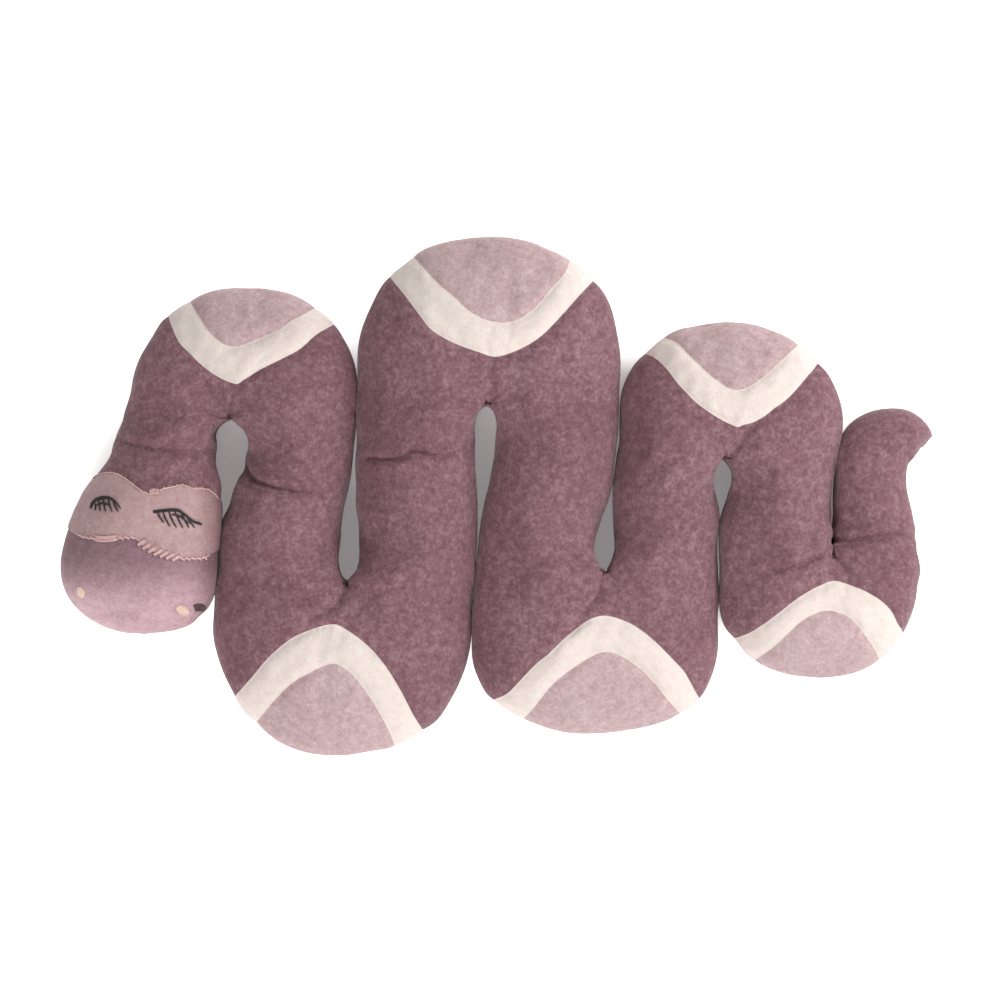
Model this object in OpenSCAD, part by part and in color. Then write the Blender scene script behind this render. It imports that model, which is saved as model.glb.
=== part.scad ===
// Long stuffed snake, folded flat into six hairpin bends.
// It lies on its underside, so +Z is up. The origin is under the middle of the whole toy.
// Legs are the straight stretches, counted from the head. Odd bends are at the back, even ones in front.

/* [Body stretches] */
// Width of leg 1, next to the neck
leg_1_w = 69; // [64:1:74]
// Width of leg 2
leg_2_w = 86; // [78:1:92]
// Width of leg 3
leg_3_w = 94; // [86:1:98]
// Width of leg 4
leg_4_w = 88; // [80:1:96]
// Width of leg 5
leg_5_w = 79; // [72:1:86]
// Width of leg 6
leg_6_w = 76; // [70:1:84]
// Width of leg 7, where the tail starts
leg_7_w = 65; // [58:1:70]
// Length of leg 1, from the middle of bend 1 to the neck seam
leg_1_l = 46; // [44:1:60]
// Length of leg 2, from the middle of bend 1 to that of bend 2
leg_2_l = 166; // [150:1:185]
// Length of leg 3
leg_3_l = 180; // [165:1:200]
// Length of leg 4
leg_4_l = 168; // [155:1:185]
// Length of leg 5
leg_5_l = 122; // [116:1:140]
// Length of leg 6
leg_6_l = 102; // [98:1:120]
// Length of leg 7, from the middle of bend 6 to the tail crease
leg_7_l = 28; // [24:1:36]
// Height of the thickest leg as it lies
body_h = 70; // [60:1:80]
// Step from the middle of bend 1 to that of bend 2
row_shift = 72; // [66:1:78]

/* [Bends] */
// Depth of bend 1, from its middle to its outer edge
bend_1_r = 70; // [62:1:78]
// Depth of bend 2
bend_2_r = 91; // [82:1:98]
// Depth of bend 3
bend_3_r = 91; // [82:1:98]
// Depth of bend 4
bend_4_r = 86; // [78:1:94]
// Depth of bend 5
bend_5_r = 78; // [72:1:86]
// Depth of bend 6
bend_6_r = 69; // [62:1:76]
// Width of the cream V band
band_w = 21; // [14:0.5:26]
// Radius of the crease at the inside of each bend
crease_r = 2; // [1.5:0.1:3]
// Length over which two legs touch, from the inside of their bend
contact_l = 26; // [22:1:30]
// Widest gap between two legs
slot_w = 10; // [4:0.5:14]
// Widest gap between leg 1 and leg 2, beside the neck
neck_slot_w = 17; // [10:0.5:20]

/* [Neck and head] */
// Width at the neck seam
neck_w = 75; // [68:1:80]
// Step of the neck seam to the left of leg 1's middle
neck_lean = 15; // [11:1:18]
// Length of the neck, from its seam to the head
neck_l = 14; // [12:1:16]
// Width of the head
head_w = 121; // [112:1:126]
// Length of the head and neck, from the neck seam to the nose
head_l = 126; // [116:1:136]
// Height of the head
head_h = 74; // [66:1:80]
// Step of the head's middle to the left of the neck seam's middle
head_lean = 13; // [10:1:18]
// Height of the mouth seam above the underside
mouth_z = 22; // [16:1:28]
// Thickness of the eye mask
mask_t = 1.2; // [0.8:0.1:2]
// Thickness of the embroidery
thread_t = 0.8; // [0.5:0.1:1.2]
// Width of an embroidered eyelid line
lid_w = 2.2; // [1.6:0.1:3]
// Length of an eyelash
lash_l = 7; // [4:0.5:9]

/* [Tail] */
// Width of the tail at its waist
tail_w = 49; // [44:1:54]
// Length of the tail from its crease to the start of its curl
tail_l = 52; // [46:1:60]
// Radius inside the curl
curl_in = 3; // [2:0.5:6]
// Angle that the curl turns, from the waist to the tip
curl_angle = 120; // [100:1:130]

/* [Cloth and clearances] */
// Thickness of the body cloth and its backing
cloth_t = 1.6; // [1:0.1:2.4]
// Clearance between parts that swing apart
swing_gap = 0.4; // [0.3:0.05:0.8]
// Clearance between two bends that lie side by side
dome_gap = 1.2; // [0.8:0.1:2]
// Clearance between the head and leg 2
head_gap = 3; // [2.5:0.5:6]
// Clearance between the cloth and the stuffing
fill_gap = 0.4; // [0.3:0.05:0.8]
// Depth of the flat that the toy rests on
flat_cut = 0.5; // [0.3:0.1:1]

/* [Hidden] */

mauve = [0.55, 0.43, 0.47];
cream = [0.93, 0.89, 0.85];
rose = [0.76, 0.64, 0.66];
mask_rose = [0.78, 0.67, 0.65];
peach = [0.88, 0.73, 0.67];
wadding = [0.96, 0.96, 0.94];
ink = [0.08, 0.07, 0.08];

// Corners of a cloth ring, and of a stuffing ring
SIDES = 16;
CORE_SIDES = 8;

// Leg widths W[1] to W[7], bend depths R[1] to R[6] and the way each bend points
W = [0, leg_1_w, leg_2_w, leg_3_w, leg_4_w, leg_5_w, leg_6_w, leg_7_w];
R = [0, bend_1_r, bend_2_r, bend_3_r, bend_4_r, bend_5_r, bend_6_r];
UP = [0, 1, -1, 1, -1, 1, -1];
// Squareness of each bend's outline: 2 is an ellipse
SQUARE = [0, 2.1, 2.1, 2.4, 2.7, 2.2, 2.2];
// Angle of each V band's outer edge above the leg's end, on its left and right
V_LEFT = [0, 46, 34, 42, 42, 44, 35];
V_RIGHT = [0, 34, 51, 41, 40, 38, 30];

// Middles of the bends, first from the middle of bend 1
x1 = 0;
x2 = x1 + row_shift;
x3 = x1 + W[2] + W[3] + dome_gap;
x4 = x2 + W[3] + W[4] + dome_gap;
x5 = x3 + W[4] + W[5] + dome_gap;
x6 = x4 + W[5] + W[6] + dome_gap;
y1 = 0;
y2 = y1 - leg_2_l;
y3 = y2 + leg_3_l;
y4 = y3 - leg_4_l;
y5 = y4 + leg_5_l;
y6 = y5 - leg_6_l;

// Neck seam, head and tail on the same rough axes
neck_rough_x = x1 - W[1] / 2 - neck_lean;
head_rough_x = neck_rough_x - head_lean;
tail_rough_x = x5 + W[6] + dome_gap + tail_w / 2;
// Distance of the tail's tip from the middle of its curl
TIP_SHARE = 0.44;
tip_reach = curl_in + TIP_SHARE * tail_w;
x_low = head_rough_x - head_w / 2;
x_high = tail_rough_x + tail_w / 2 + curl_in - tip_reach * cos(curl_angle);
y_low = min(y2 - R[2], y4 - R[4]);
y_high = max(y1 + R[1], y3 + R[3]);
MX = (x_low + x_high) / 2;
MY = (y_low + y_high) / 2;

// Middles of the bends, from the middle of the toy
CX = [0, x1 - MX, x2 - MX, x3 - MX, x4 - MX, x5 - MX, x6 - MX];
CY = [0, y1 - MY, y2 - MY, y3 - MY, y4 - MY, y5 - MY, y6 - MY];
neck_x = neck_rough_x - MX;
neck_y = CY[1] - leg_1_l;
head_x = head_rough_x - MX;
tail_mid = tail_rough_x - MX;
crease_y = CY[6] + leg_7_l;
curl_x = tail_mid + tail_w / 2 + curl_in;
curl_y = crease_y + tail_l;

// Share of a section that is pressed flat where two legs touch
PRESS = 0.24;
// Heights fall with the width of the leg, to this power
THIN = 0.8;
function leg_h(k) = body_h * pow(W[k] / max(W), THIN);
// The neck is higher than leg 1, and the tail's waist lower than leg 7
NECK_RISE = 1.06;
TAIL_FALL = 0.92;
neck_h = leg_h(1) * NECK_RISE;
tail_h = leg_h(7) * TAIL_FALL;
// Share of the taper from leg 7 to the tail's waist that lies below the crease
CREASE_TAPER = 0.45;
crease_w = W[7] + (tail_w - W[7]) * CREASE_TAPER;

function mix(a, b, t) = a + (b - a) * t;
function part_of(t) = min(1, max(0, t));
function ease(t) = let(u = part_of(t)) u * u * (3 - 2 * u);

// Slots between the legs: slot k runs from the inside of bend k to between the bends beside it
FAR_X = [0,
  CX[2] - W[2] - dome_gap / 2,
  for (k = [2:5]) (CX[k - 1] + W[k] + CX[k + 1] - W[k + 1]) / 2,
  CX[5] + W[6] + dome_gap / 2];
FAR_Y = [0,
  CY[2],
  for (k = [2:5]) UP[k] > 0 ? max(CY[k - 1], CY[k + 1]) : min(CY[k - 1], CY[k + 1]),
  CY[5]];
SLOT_W = [0, neck_slot_w, slot_w, slot_w, slot_w, slot_w * 0.7, slot_w * 0.2];
// Length over which a slot opens to its widest
SLOT_RAMP = 16;
// The gap beside the neck narrows over this length, and the others over all that is left of them
NECK_SLOT_END = 46;
function slot_at(k, y) = part_of((CY[k] - y) * UP[k] / abs(CY[k] - FAR_Y[k]));
function slot_x(k, y) = mix(CX[k], FAR_X[k], slot_at(k, y));
function slot_gap(k, y) =
  let(s = (CY[k] - y) * UP[k], peak = contact_l + SLOT_RAMP,
      end = k == 1 ? peak + NECK_SLOT_END : max(peak + 1, abs(CY[k] - FAR_Y[k])))
  s < 1 ? 2 * crease_r :
  s < contact_l ? swing_gap :
  s < peak ? mix(swing_gap, SLOT_W[k], ease((s - contact_l) / SLOT_RAMP)) :
  mix(max(SLOT_W[k], dome_gap), dome_gap, part_of((s - peak) / (end - peak)));
function pressed(k, y) = 1 - ease(((CY[k] - y) * UP[k] - contact_l / 2) / contact_l);

// A section across a stretch: an ellipse from left to right, pressed flat at its sides, cut flat below
function section(n, left, right, press_l, press_r, low, high, wall) =
  let(a = (right - left + press_l + press_r) / 2 - wall,
      x0 = (right - left + press_r - press_l) / 2 + left,
      b = (high + flat_cut) / 2 - wall,
      z0 = low + (high - flat_cut) / 2,
      first = acos(1 - flat_cut / b),
      step = (360 - 2 * first) / (n - 1))
  [for (i = [0:n - 1]) let(t = first + i * step)
    [max(left + wall, min(right - wall, x0 + a * sin(t))), z0 - b * cos(t)]];

// Reach of bend k in the direction t, counted from its left leg (0) over the bend to its right leg (180)
function reach(k, t) =
  let(side = t < 90 ? W[k] : W[k + 1], n = SQUARE[k])
  pow(pow(abs(cos(t)) / side, n) + pow(sin(t) / R[k], n), -1 / n);
function bend_h(k, t) = mix(leg_h(k), leg_h(k + 1), t / 180);

// A section of bend k in the direction t, pushed along the bend by a small step
function bend_ring(k, t, push, n, wall) =
  let(r = reach(k, t))
  [for (p = section(n, -r, -crease_r, 0, PRESS * r, 0, bend_h(k, t), wall))
    [CX[k] + p[0] * cos(t) + push * sin(t),
     CY[k] + UP[k] * (push * cos(t) - p[0] * sin(t)), p[1]]];
// The same section seen from the leg to the right of the bend, so that its corners run the same way
function lobe_ring(k, t, push, n, wall) =
  let(r = reach(k, t))
  [for (p = section(n, crease_r, r, PRESS * r, 0, 0, bend_h(k, t), wall))
    [CX[k] - p[0] * cos(t) + push * sin(t),
     CY[k] + UP[k] * (push * cos(t) + p[0] * sin(t)), p[1]]];

// Share of leg 1's length over which its right side keeps to the slot, before it turns to the neck
NECK_HOLD = 0.2;
function slot_left(k, y) = slot_x(k, y) - slot_gap(k, y) / 2;
function slot_right(k, y) = slot_x(k, y) + slot_gap(k, y) / 2;
// Left and right sides of leg k at a level y
function leg_left(k, y) =
  k == 1 ? mix(CX[1] - W[1], neck_x - neck_w / 2, ease((CY[1] - y) / leg_1_l)) :
  slot_right(k - 1, y);
function leg_right(k, y) =
  k == 1 ? mix(slot_left(1, y), neck_x + neck_w / 2,
    ease(((CY[1] - y) / leg_1_l - NECK_HOLD) / (1 - NECK_HOLD))) :
  k == 7 ? leg_left(7, y) + mix(W[7] - crease_r, crease_w, ease((y - CY[6]) / leg_7_l)) :
  slot_left(k, y);
function leg_ring(k, y, n, wall) =
  let(left = leg_left(k, y), right = leg_right(k, y),
      press_l = k > 1 ? PRESS * W[k] * pressed(k - 1, y) : 0,
      press_r = k < 7 ? PRESS * W[k] * pressed(k, y) : 0,
      high = k == 1 ? mix(leg_h(1), neck_h, ease((CY[1] - y) / leg_1_l)) : leg_h(k))
  [for (p = section(n, left, right, press_l, press_r, 0, high, wall)) [p[0], y, p[1]]];

// Rings of a leg inside each of its bends, and of a bend's own cloth
LOBE_STEPS = 3;
BEND_STEPS = 6;
// Rings of leg k round the bend to its left, from the V band down to the leg
function left_lobe(k, n, wall) =
  [for (i = [0:LOBE_STEPS - 1]) let(t = 180 - V_RIGHT[k] * (1 - i / LOBE_STEPS))
    lobe_ring(k, t, i == 0 ? swing_gap / 2 : 0, n, wall)];
// Rings of leg k round the bend to its right, from the leg up to the V band
function right_lobe(k, n, wall) =
  [for (i = [1:LOBE_STEPS]) let(t = V_LEFT[k] * i / LOBE_STEPS)
    bend_ring(k, t, i == LOBE_STEPS ? -swing_gap / 2 : 0, n, wall)];

// Distances from the inside of a bend at which a leg has a ring
NEAR = [0, contact_l / 2, contact_l, contact_l + SLOT_RAMP];
MID_RING = LOBE_STEPS + len(NEAR);
// Rings of a leg between two bends, from the lower left to the upper right
function leg_levels(k) =
  let(from = CY[k - 1], to = CY[k], way = sign(to - from))
  concat([for (s = NEAR) from + way * s],
         [(from + to) / 2],
         [for (i = [len(NEAR) - 1:-1:0]) to - way * NEAR[i]]);
function leg_rings(k, n, wall) =
  concat(left_lobe(k - 1, n, wall),
         [for (y = leg_levels(k)) leg_ring(k, y, n, wall)],
         right_lobe(k, n, wall));
function backwards(list) = [for (i = [len(list) - 1:-1:0]) list[i]];
// Rings in the order of growing y, which keeps every face turned outwards
function rising(k, rings) = UP[k] > 0 ? rings : backwards(rings);
function slice(list, from, to) = [for (i = [from:to]) list[i]];

function bend_rings(k, n, wall) =
  let(from = V_LEFT[k], to = 180 - V_RIGHT[k])
  rising(k, [for (i = [0:BEND_STEPS])
    bend_ring(k, mix(from, to, i / BEND_STEPS),
      i == 0 ? swing_gap / 2 : i == BEND_STEPS ? -swing_gap / 2 : 0, n, wall)]);

// Faces of a loft through rings of n points that start at point o; turned inwards for an inner wall
function loft_faces(count, n, o, inward = false) =
  [for (i = [0:count - 2], j = [0:n - 1])
    let(a = o + i * n + j, b = o + i * n + (j + 1) % n, c = b + n, d = a + n)
    each inward ? [[a, c, b], [a, d, c]] : [[a, b, c], [a, c, d]]];
// Faces of a fan between a ring that starts at point o and a tip
function fan_faces(n, o, tip, turned) =
  [for (j = [0:n - 1]) let(a = o + j, b = o + (j + 1) % n) turned ? [tip, b, a] : [a, b, tip]];
// Flat end between an outer ring of 2m points at o and an inner ring of m points at q
function rim_faces(m, o, q, turned) =
  [for (j = [0:m - 1])
    let(a = o + 2 * j, b = a + 1, c = o + (2 * j + 2) % (2 * m), d = q + j, e = q + (j + 1) % m)
    each turned ? [[b, a, d], [c, b, e], [e, b, d]] : [[a, b, d], [b, c, e], [b, e, d]]];
function joined(rings) = [for (r = rings) each r];

// A cloth tube: outer and inner rings, open at both ends, or closed by a tip pair at its first or last end
module cloth(outer, inner, first_tip = undef, last_tip = undef) {
  n = len(outer[0]);
  m = len(inner[0]);
  q = len(outer) * n;
  t = q + len(inner) * m;
  last_o = q - n;
  last_q = t - m;
  tips = concat(is_undef(first_tip) ? [] : first_tip, is_undef(last_tip) ? [] : last_tip);
  faces = concat(
    loft_faces(len(outer), n, 0),
    loft_faces(len(inner), m, q, true),
    is_undef(first_tip) ? rim_faces(m, 0, q, true) :
      concat(fan_faces(n, 0, t, true), fan_faces(m, q, t + 1, false)),
    is_undef(last_tip) ? rim_faces(m, last_o, last_q, false) :
      concat(fan_faces(n, last_o, t, false), fan_faces(m, last_q, t + 1, true)));
  polyhedron(concat(joined(outer), joined(inner), tips), faces);
}

// A solid filling through rings, closed flat, or by a tip at its first or last end
module filling(rings, first_tip = undef, last_tip = undef) {
  n = len(rings[0]);
  t = len(rings) * n;
  last_o = t - n;
  tips = concat(is_undef(first_tip) ? [] : [first_tip], is_undef(last_tip) ? [] : [last_tip]);
  faces = concat(
    loft_faces(len(rings), n, 0),
    is_undef(first_tip) ? [for (j = [1:n - 2]) [0, j + 1, j]] : fan_faces(n, 0, t, true),
    is_undef(last_tip) ? [for (j = [1:n - 2]) [last_o, last_o + j, last_o + j + 1]] :
      fan_faces(n, last_o, t, false));
  polyhedron(concat(joined(rings), tips), faces);
}

fill_in = cloth_t + fill_gap;

module leg_upper(k) {
  outer = rising(k, leg_rings(k, SIDES, 0));
  inner = rising(k, leg_rings(k, CORE_SIDES, cloth_t));
  last = len(outer) - 1;
  color(mauve) cloth(slice(outer, MID_RING, last), slice(inner, MID_RING, last));
}

module leg_lower(k) {
  outer = rising(k, leg_rings(k, SIDES, 0));
  inner = rising(k, leg_rings(k, CORE_SIDES, cloth_t));
  color(mauve) cloth(slice(outer, 0, MID_RING), slice(inner, 0, MID_RING));
}

module leg_filling(k) {
  color(wadding) filling(rising(k, leg_rings(k, CORE_SIDES, fill_in)));
}

// Leg 1 runs from the neck seam up to bend 1, with rings at the same levels as leg 2 has
LEG_1_LEVELS = [neck_y, neck_y + (leg_1_l - contact_l) / 2,
  CY[1] - contact_l, CY[1] - contact_l / 2, CY[1]];
function leg_1_rings(n, wall) =
  concat([for (y = LEG_1_LEVELS) leg_ring(1, y == neck_y ? y + swing_gap / 2 : y, n, wall)],
         right_lobe(1, n, wall));
module leg_1_panel() {
  color(mauve) cloth(leg_1_rings(SIDES, 0), leg_1_rings(CORE_SIDES, cloth_t));
}
module leg_1_stuffing() {
  color(wadding) filling(leg_1_rings(CORE_SIDES, fill_in));
}

// Leg 7 runs from bend 6 up to the tail crease
LEG_7_LEVELS = [CY[6], CY[6] + contact_l / 2, crease_y];
function leg_7_rings(n, wall) =
  concat(left_lobe(6, n, wall),
         [for (y = LEG_7_LEVELS) leg_ring(7, y == crease_y ? y - swing_gap / 2 : y, n, wall)]);
module leg_7_panel() {
  color(mauve) cloth(leg_7_rings(SIDES, 0), leg_7_rings(CORE_SIDES, cloth_t));
}
module leg_7_stuffing() {
  color(wadding) filling(leg_7_rings(CORE_SIDES, fill_in));
}

// The V of bend k seen from above, its edges moved outwards by a step and its arms made long
module v_wedge(k, step) {
  reach_far = 2 * max(W) + R[k];
  left = V_LEFT[k];
  right = V_RIGHT[k];
  half = (180 - left - right) / 2;
  mid = left + half;
  tip = step / sin(half);
  translate([CX[k] - tip * cos(mid), CY[k] + UP[k] * tip * sin(mid)])
    polygon([[0, 0],
      [-reach_far * cos(left), UP[k] * reach_far * sin(left)],
      [-2 * reach_far * cos(mid), UP[k] * 2 * reach_far * sin(mid)],
      [reach_far * cos(right), UP[k] * reach_far * sin(right)]]);
}

module bend_cloth(k) {
  cloth(bend_rings(k, SIDES, 0), bend_rings(k, CORE_SIDES, cloth_t));
}

module bend_band(k) {
  color(cream) difference() {
    bend_cloth(k);
    translate([0, 0, -body_h]) linear_extrude(3 * body_h) v_wedge(k, band_w);
  }
}

module bend_inset(k) {
  color(rose) intersection() {
    bend_cloth(k);
    translate([0, 0, -body_h]) linear_extrude(3 * body_h) v_wedge(k, band_w);
  }
}

module bend_filling(k) {
  color(wadding) filling(bend_rings(k, CORE_SIDES, fill_in));
}

// Share of the head's length, from the neck seam, at which it is widest
WIDEST = 0.6;
// Squareness of its front, seen from above and from the side
HEAD_SQUARE = 2.2;
// Height of the nose's tip as a share of the head's, and where the chin starts to rise to it
NOSE_SHARE = 0.4;
CHIN_RISE = 0.75;
CHIN_RUN = 0.17;
nose_z = head_h * NOSE_SHARE;
// Share of its full width and height that the head keeps at a share t of its length
function front(t) = pow(1 - pow((t - WIDEST) / (1 - WIDEST), HEAD_SQUARE), 1 / HEAD_SQUARE);
// Half width, height, middle and underside of the head at a share t of its length
function head_half(t) = (t < WIDEST ? mix(neck_w, head_w, sin(90 * t / WIDEST)) : head_w * front(t)) / 2;
function head_high(t) = t < WIDEST ? mix(neck_h, head_h, sin(90 * t / WIDEST)) : head_h * front(t);
function head_mid(t) = let(u = part_of(t / WIDEST)) mix(neck_x, head_x, (u + ease(u)) / 2);
function head_low(t) = max(0, nose_z - head_high(t) / 2) * ease((t - CHIN_RISE) / CHIN_RUN);
// The head stays clear of leg 2
function head_limit(y) = slot_right(1, y) - head_gap;
function head_ring(t, shift, n, wall, proud) =
  let(y = neck_y - t * head_l + shift, half = head_half(t) + proud,
      right = min(head_mid(t) + half, head_limit(y) + proud),
      left = head_mid(t) - half, high = head_high(t) + proud)
  [for (p = section(n, left, right, 0, 0, head_low(t), high, wall)) [p[0], y, p[1]]];
neck_end = neck_l / head_l;
NECK_STEPS = [neck_end, 0.5 * neck_end, 0];
function neck_rings(n, wall) =
  [for (t = NECK_STEPS) head_ring(t, t == 0 ? -swing_gap / 2 : t == neck_end ? swing_gap / 2 : 0, n, wall, 0)];
module neck_panel() {
  color(mauve) cloth(neck_rings(SIDES, 0), neck_rings(CORE_SIDES, cloth_t));
}
module neck_stuffing() {
  color(wadding) filling(neck_rings(CORE_SIDES, fill_in));
}

// Rings of the head's back, from its panel seam to the neck, and of its front, from nose to seam
BACK_SEAM = 0.52;
BACK_STEPS = [BACK_SEAM, 0.41, 0.31, 0.21, neck_end];
FRONT_STEPS = [0.985, 0.95, 0.89, 0.81, 0.72, 0.62, BACK_SEAM];
function head_rings(steps, n, wall, proud = 0) =
  [for (t = steps) head_ring(t, t == neck_end ? -swing_gap / 2 : 0, n, wall, proud)];
nose = [head_mid(1), neck_y - head_l, nose_z];
nose_in = [head_mid(1), neck_y - FRONT_STEPS[0] * head_l + cloth_t, nose_z];
FRONT_IN = slice(FRONT_STEPS, 1, len(FRONT_STEPS) - 1);

module head_back_panel() {
  color(mauve) cloth(head_rings(BACK_STEPS, SIDES, 0), head_rings(BACK_STEPS, CORE_SIDES, cloth_t));
}
module head_front() {
  cloth(head_rings(FRONT_STEPS, SIDES, 0), head_rings(FRONT_IN, CORE_SIDES, cloth_t),
    first_tip = [nose, nose_in]);
}
module below_mouth() {
  translate([head_x - head_w, neck_y - 2 * head_l, -head_h])
    cube([2 * head_w, 2 * head_l, head_h + mouth_z]);
}
module muzzle_panel() {
  color(rose) difference() {
    head_front();
    below_mouth();
  }
}
module chin_panel() {
  color(mauve) intersection() {
    head_front();
    below_mouth();
  }
}
module head_stuffing() {
  rings = concat(head_rings(FRONT_IN, CORE_SIDES, fill_in),
    slice(head_rings(BACK_STEPS, CORE_SIDES, fill_in), 1, len(BACK_STEPS) - 1));
  color(wadding) filling(rings, first_tip = nose_in + [0, fill_gap, 0]);
}

// A layer over the top of the head, from one height above its cloth to another
LAYER_SEAT = 0.1;
FACE_STEPS = slice(FRONT_STEPS, 0, 4);
EYE_STEPS = slice(BACK_STEPS, 0, 3);
LAYER_STEPS = concat(slice(FRONT_STEPS, 4, 5), EYE_STEPS, [neck_end + 0.005]);
module head_layer(low, high, steps = LAYER_STEPS) {
  from = SIDES / 4;
  count = SIDES - 2 * from;
  top = [for (r = head_rings(steps, SIDES, 0, high)) slice(r, from, SIDES - 1 - from)];
  under = [for (r = head_rings(steps, SIDES, 0, low)) slice(r, from, SIDES - 1 - from)];
  rings = [for (i = [0:len(steps) - 1]) concat(top[i], backwards(under[i]))];
  n = 2 * count;
  last_o = (len(steps) - 1) * n;
  strip = [for (j = [0:count - 2]) [j, j + 1, n - 2 - j, n - 1 - j]];
  faces = concat(loft_faces(len(steps), n, 0),
    [for (f = strip) each [[f[1], f[0], f[2]], [f[2], f[0], f[3]]]],
    [for (f = strip) each [[last_o + f[0], last_o + f[1], last_o + f[2]],
      [last_o + f[0], last_o + f[2], last_o + f[3]]]]);
  polyhedron(joined(rings), faces);
}

// A point on the head seen from above: across from its middle, and down from the neck seam, as
// shares of its half width and its length
function on_head(across, down) =
  [head_x + across * head_w / 2, neck_y - down * head_l];
module cut_of(points) {
  linear_extrude(2 * head_h) polygon([for (p = points) on_head(p[0], p[1])]);
}

// Outline of the mask: down to a dip between the brows, and up to a peak over the muzzle
MASK = [[-0.72, 0.13], [-0.42, 0.115], [-0.28, 0.14], [-0.1, 0.21], [0.02, 0.22], [0.22, 0.19],
  [0.42, 0.175], [0.62, 0.2], [1.1, 0.24], [1.1, 0.56], [0.55, 0.585], [0.3, 0.575], [0.12, 0.53],
  [-0.04, 0.48], [-0.2, 0.445], [-0.36, 0.455], [-0.52, 0.475], [-0.72, 0.46], [-1.1, 0.37],
  [-1.1, 0.2]];
module eye_mask() {
  color(mask_rose) intersection() {
    head_layer(LAYER_SEAT, LAYER_SEAT + mask_t);
    cut_of(MASK);
  }
}

// A closed eye: a lid line that bends at its middle, with lashes that fan out below it
LASH_FAN = 24;
module eye_shape(middle, span, tilt, lashes) {
  translate(middle) rotate(tilt) {
    for (side = [-1, 1]) hull() {
      translate([0, lid_w]) circle(d = lid_w, $fn = 12);
      translate([side * span / 2, -lid_w / 2]) circle(d = lid_w, $fn = 12);
    }
    for (i = [0:lashes - 1]) let(u = (i + 0.5) / lashes - 0.5)
      translate([u * span, lid_w / 2 - lid_w * abs(u) * 2]) rotate(u * LASH_FAN)
        translate([-lid_w / 4, -lash_l]) square([lid_w / 2, lash_l]);
  }
}
module eye(middle, span, tilt, lashes) {
  base = LAYER_SEAT + mask_t + LAYER_SEAT;
  color(ink) intersection() {
    head_layer(base, base + thread_t, EYE_STEPS);
    linear_extrude(2 * head_h) eye_shape(middle, span, tilt, lashes);
  }
}
module left_eye() {
  eye(on_head(-0.45, 0.28), 19, 6, 4);
}
module right_eye() {
  eye(on_head(0.4, 0.335), 28, -14, 6);
}

// A small patch of satin stitches near the mouth line, just clear of the steep front of the muzzle
PATCH_SEAT = 0.3;
module patch(middle, wide, long, turn) {
  intersection() {
    head_layer(PATCH_SEAT, PATCH_SEAT + thread_t, FACE_STEPS);
    linear_extrude(2 * head_h) translate(middle) rotate(turn) scale([wide, long]) circle(d = 1, $fn = 16);
  }
}
module left_nostril() {
  color(peach) patch(on_head(-0.8, 0.78), 6, 8, 25);
}
module right_nostril() {
  color(peach) patch(on_head(0.44, 0.86), 10, 7, 20);
}
module mouth_stitch() {
  color(ink) patch(on_head(0.64, 0.83), 7, 2.4, 35);
}

// Rings of the tail, from its crease up and round its curl to the tip
function tail_half(t) = mix(crease_w, tail_w, ease(t)) / 2;
function tail_x(t) = mix(
  (leg_left(7, crease_y) + leg_right(7, crease_y)) / 2, tail_mid, ease(t));
function straight_ring(t, shift, n, wall) =
  let(x = tail_x(t), half = tail_half(t))
  [for (p = section(n, x - half, x + half, 0, 0, 0, mix(leg_h(7), tail_h, t), wall))
    [p[0], mix(crease_y, curl_y, t) + shift, p[1]]];
// Outer and inner radius of the curl at a share t of its angle: it narrows to a point, late and more
// so at its inside
OUT_POWER = 2.4;
IN_POWER = 6;
// Share of the lost height by which the curl's underside rises, and height of the tip
TIP_LIFT = 0.6;
TIP_Z = 0.36;
function curl_out(t) = mix(curl_in + tail_w, tip_reach, pow(t, OUT_POWER));
function curl_inner(t) = mix(curl_in, tip_reach, pow(t, IN_POWER));
function curl_ring(t, n, wall) =
  let(out = curl_out(t), in = curl_inner(t), high = tail_h * pow((out - in) / tail_w, THIN),
      low = TIP_LIFT * (tail_h - high) / 2 * ease(t * 4), angle = t * curl_angle)
  [for (p = section(n, -out, -in, 0, 0, low, high, wall))
    [curl_x + p[0] * cos(angle), curl_y - p[0] * sin(angle), p[1]]];
TAIL_STEPS = [0, 0.3, 0.65, 1];
CURL_STEPS = [0.14, 0.28, 0.42, 0.56, 0.7, 0.82, 0.92];
function tail_rings(n, wall) = concat(
  [for (t = TAIL_STEPS) straight_ring(t, t == 0 ? swing_gap / 2 : 0, n, wall)],
  [for (t = CURL_STEPS) curl_ring(t, n, wall)]);
// The tip, or a point inside it
function tail_tip(t) =
  let(angle = t * curl_angle, r = (curl_out(t) + curl_inner(t)) / 2)
  [curl_x - r * cos(angle), curl_y + r * sin(angle), tail_h * TIP_Z];
CLOTH_TIP = 0.96;
FILL_TIP = 0.94;
module tail_panel() {
  color(mauve) cloth(tail_rings(SIDES, 0), tail_rings(CORE_SIDES, cloth_t),
    last_tip = [tail_tip(1), tail_tip(CLOTH_TIP)]);
}
module tail_stuffing() {
  color(wadding) filling(tail_rings(CORE_SIDES, fill_in), last_tip = tail_tip(FILL_TIP));
}

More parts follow.
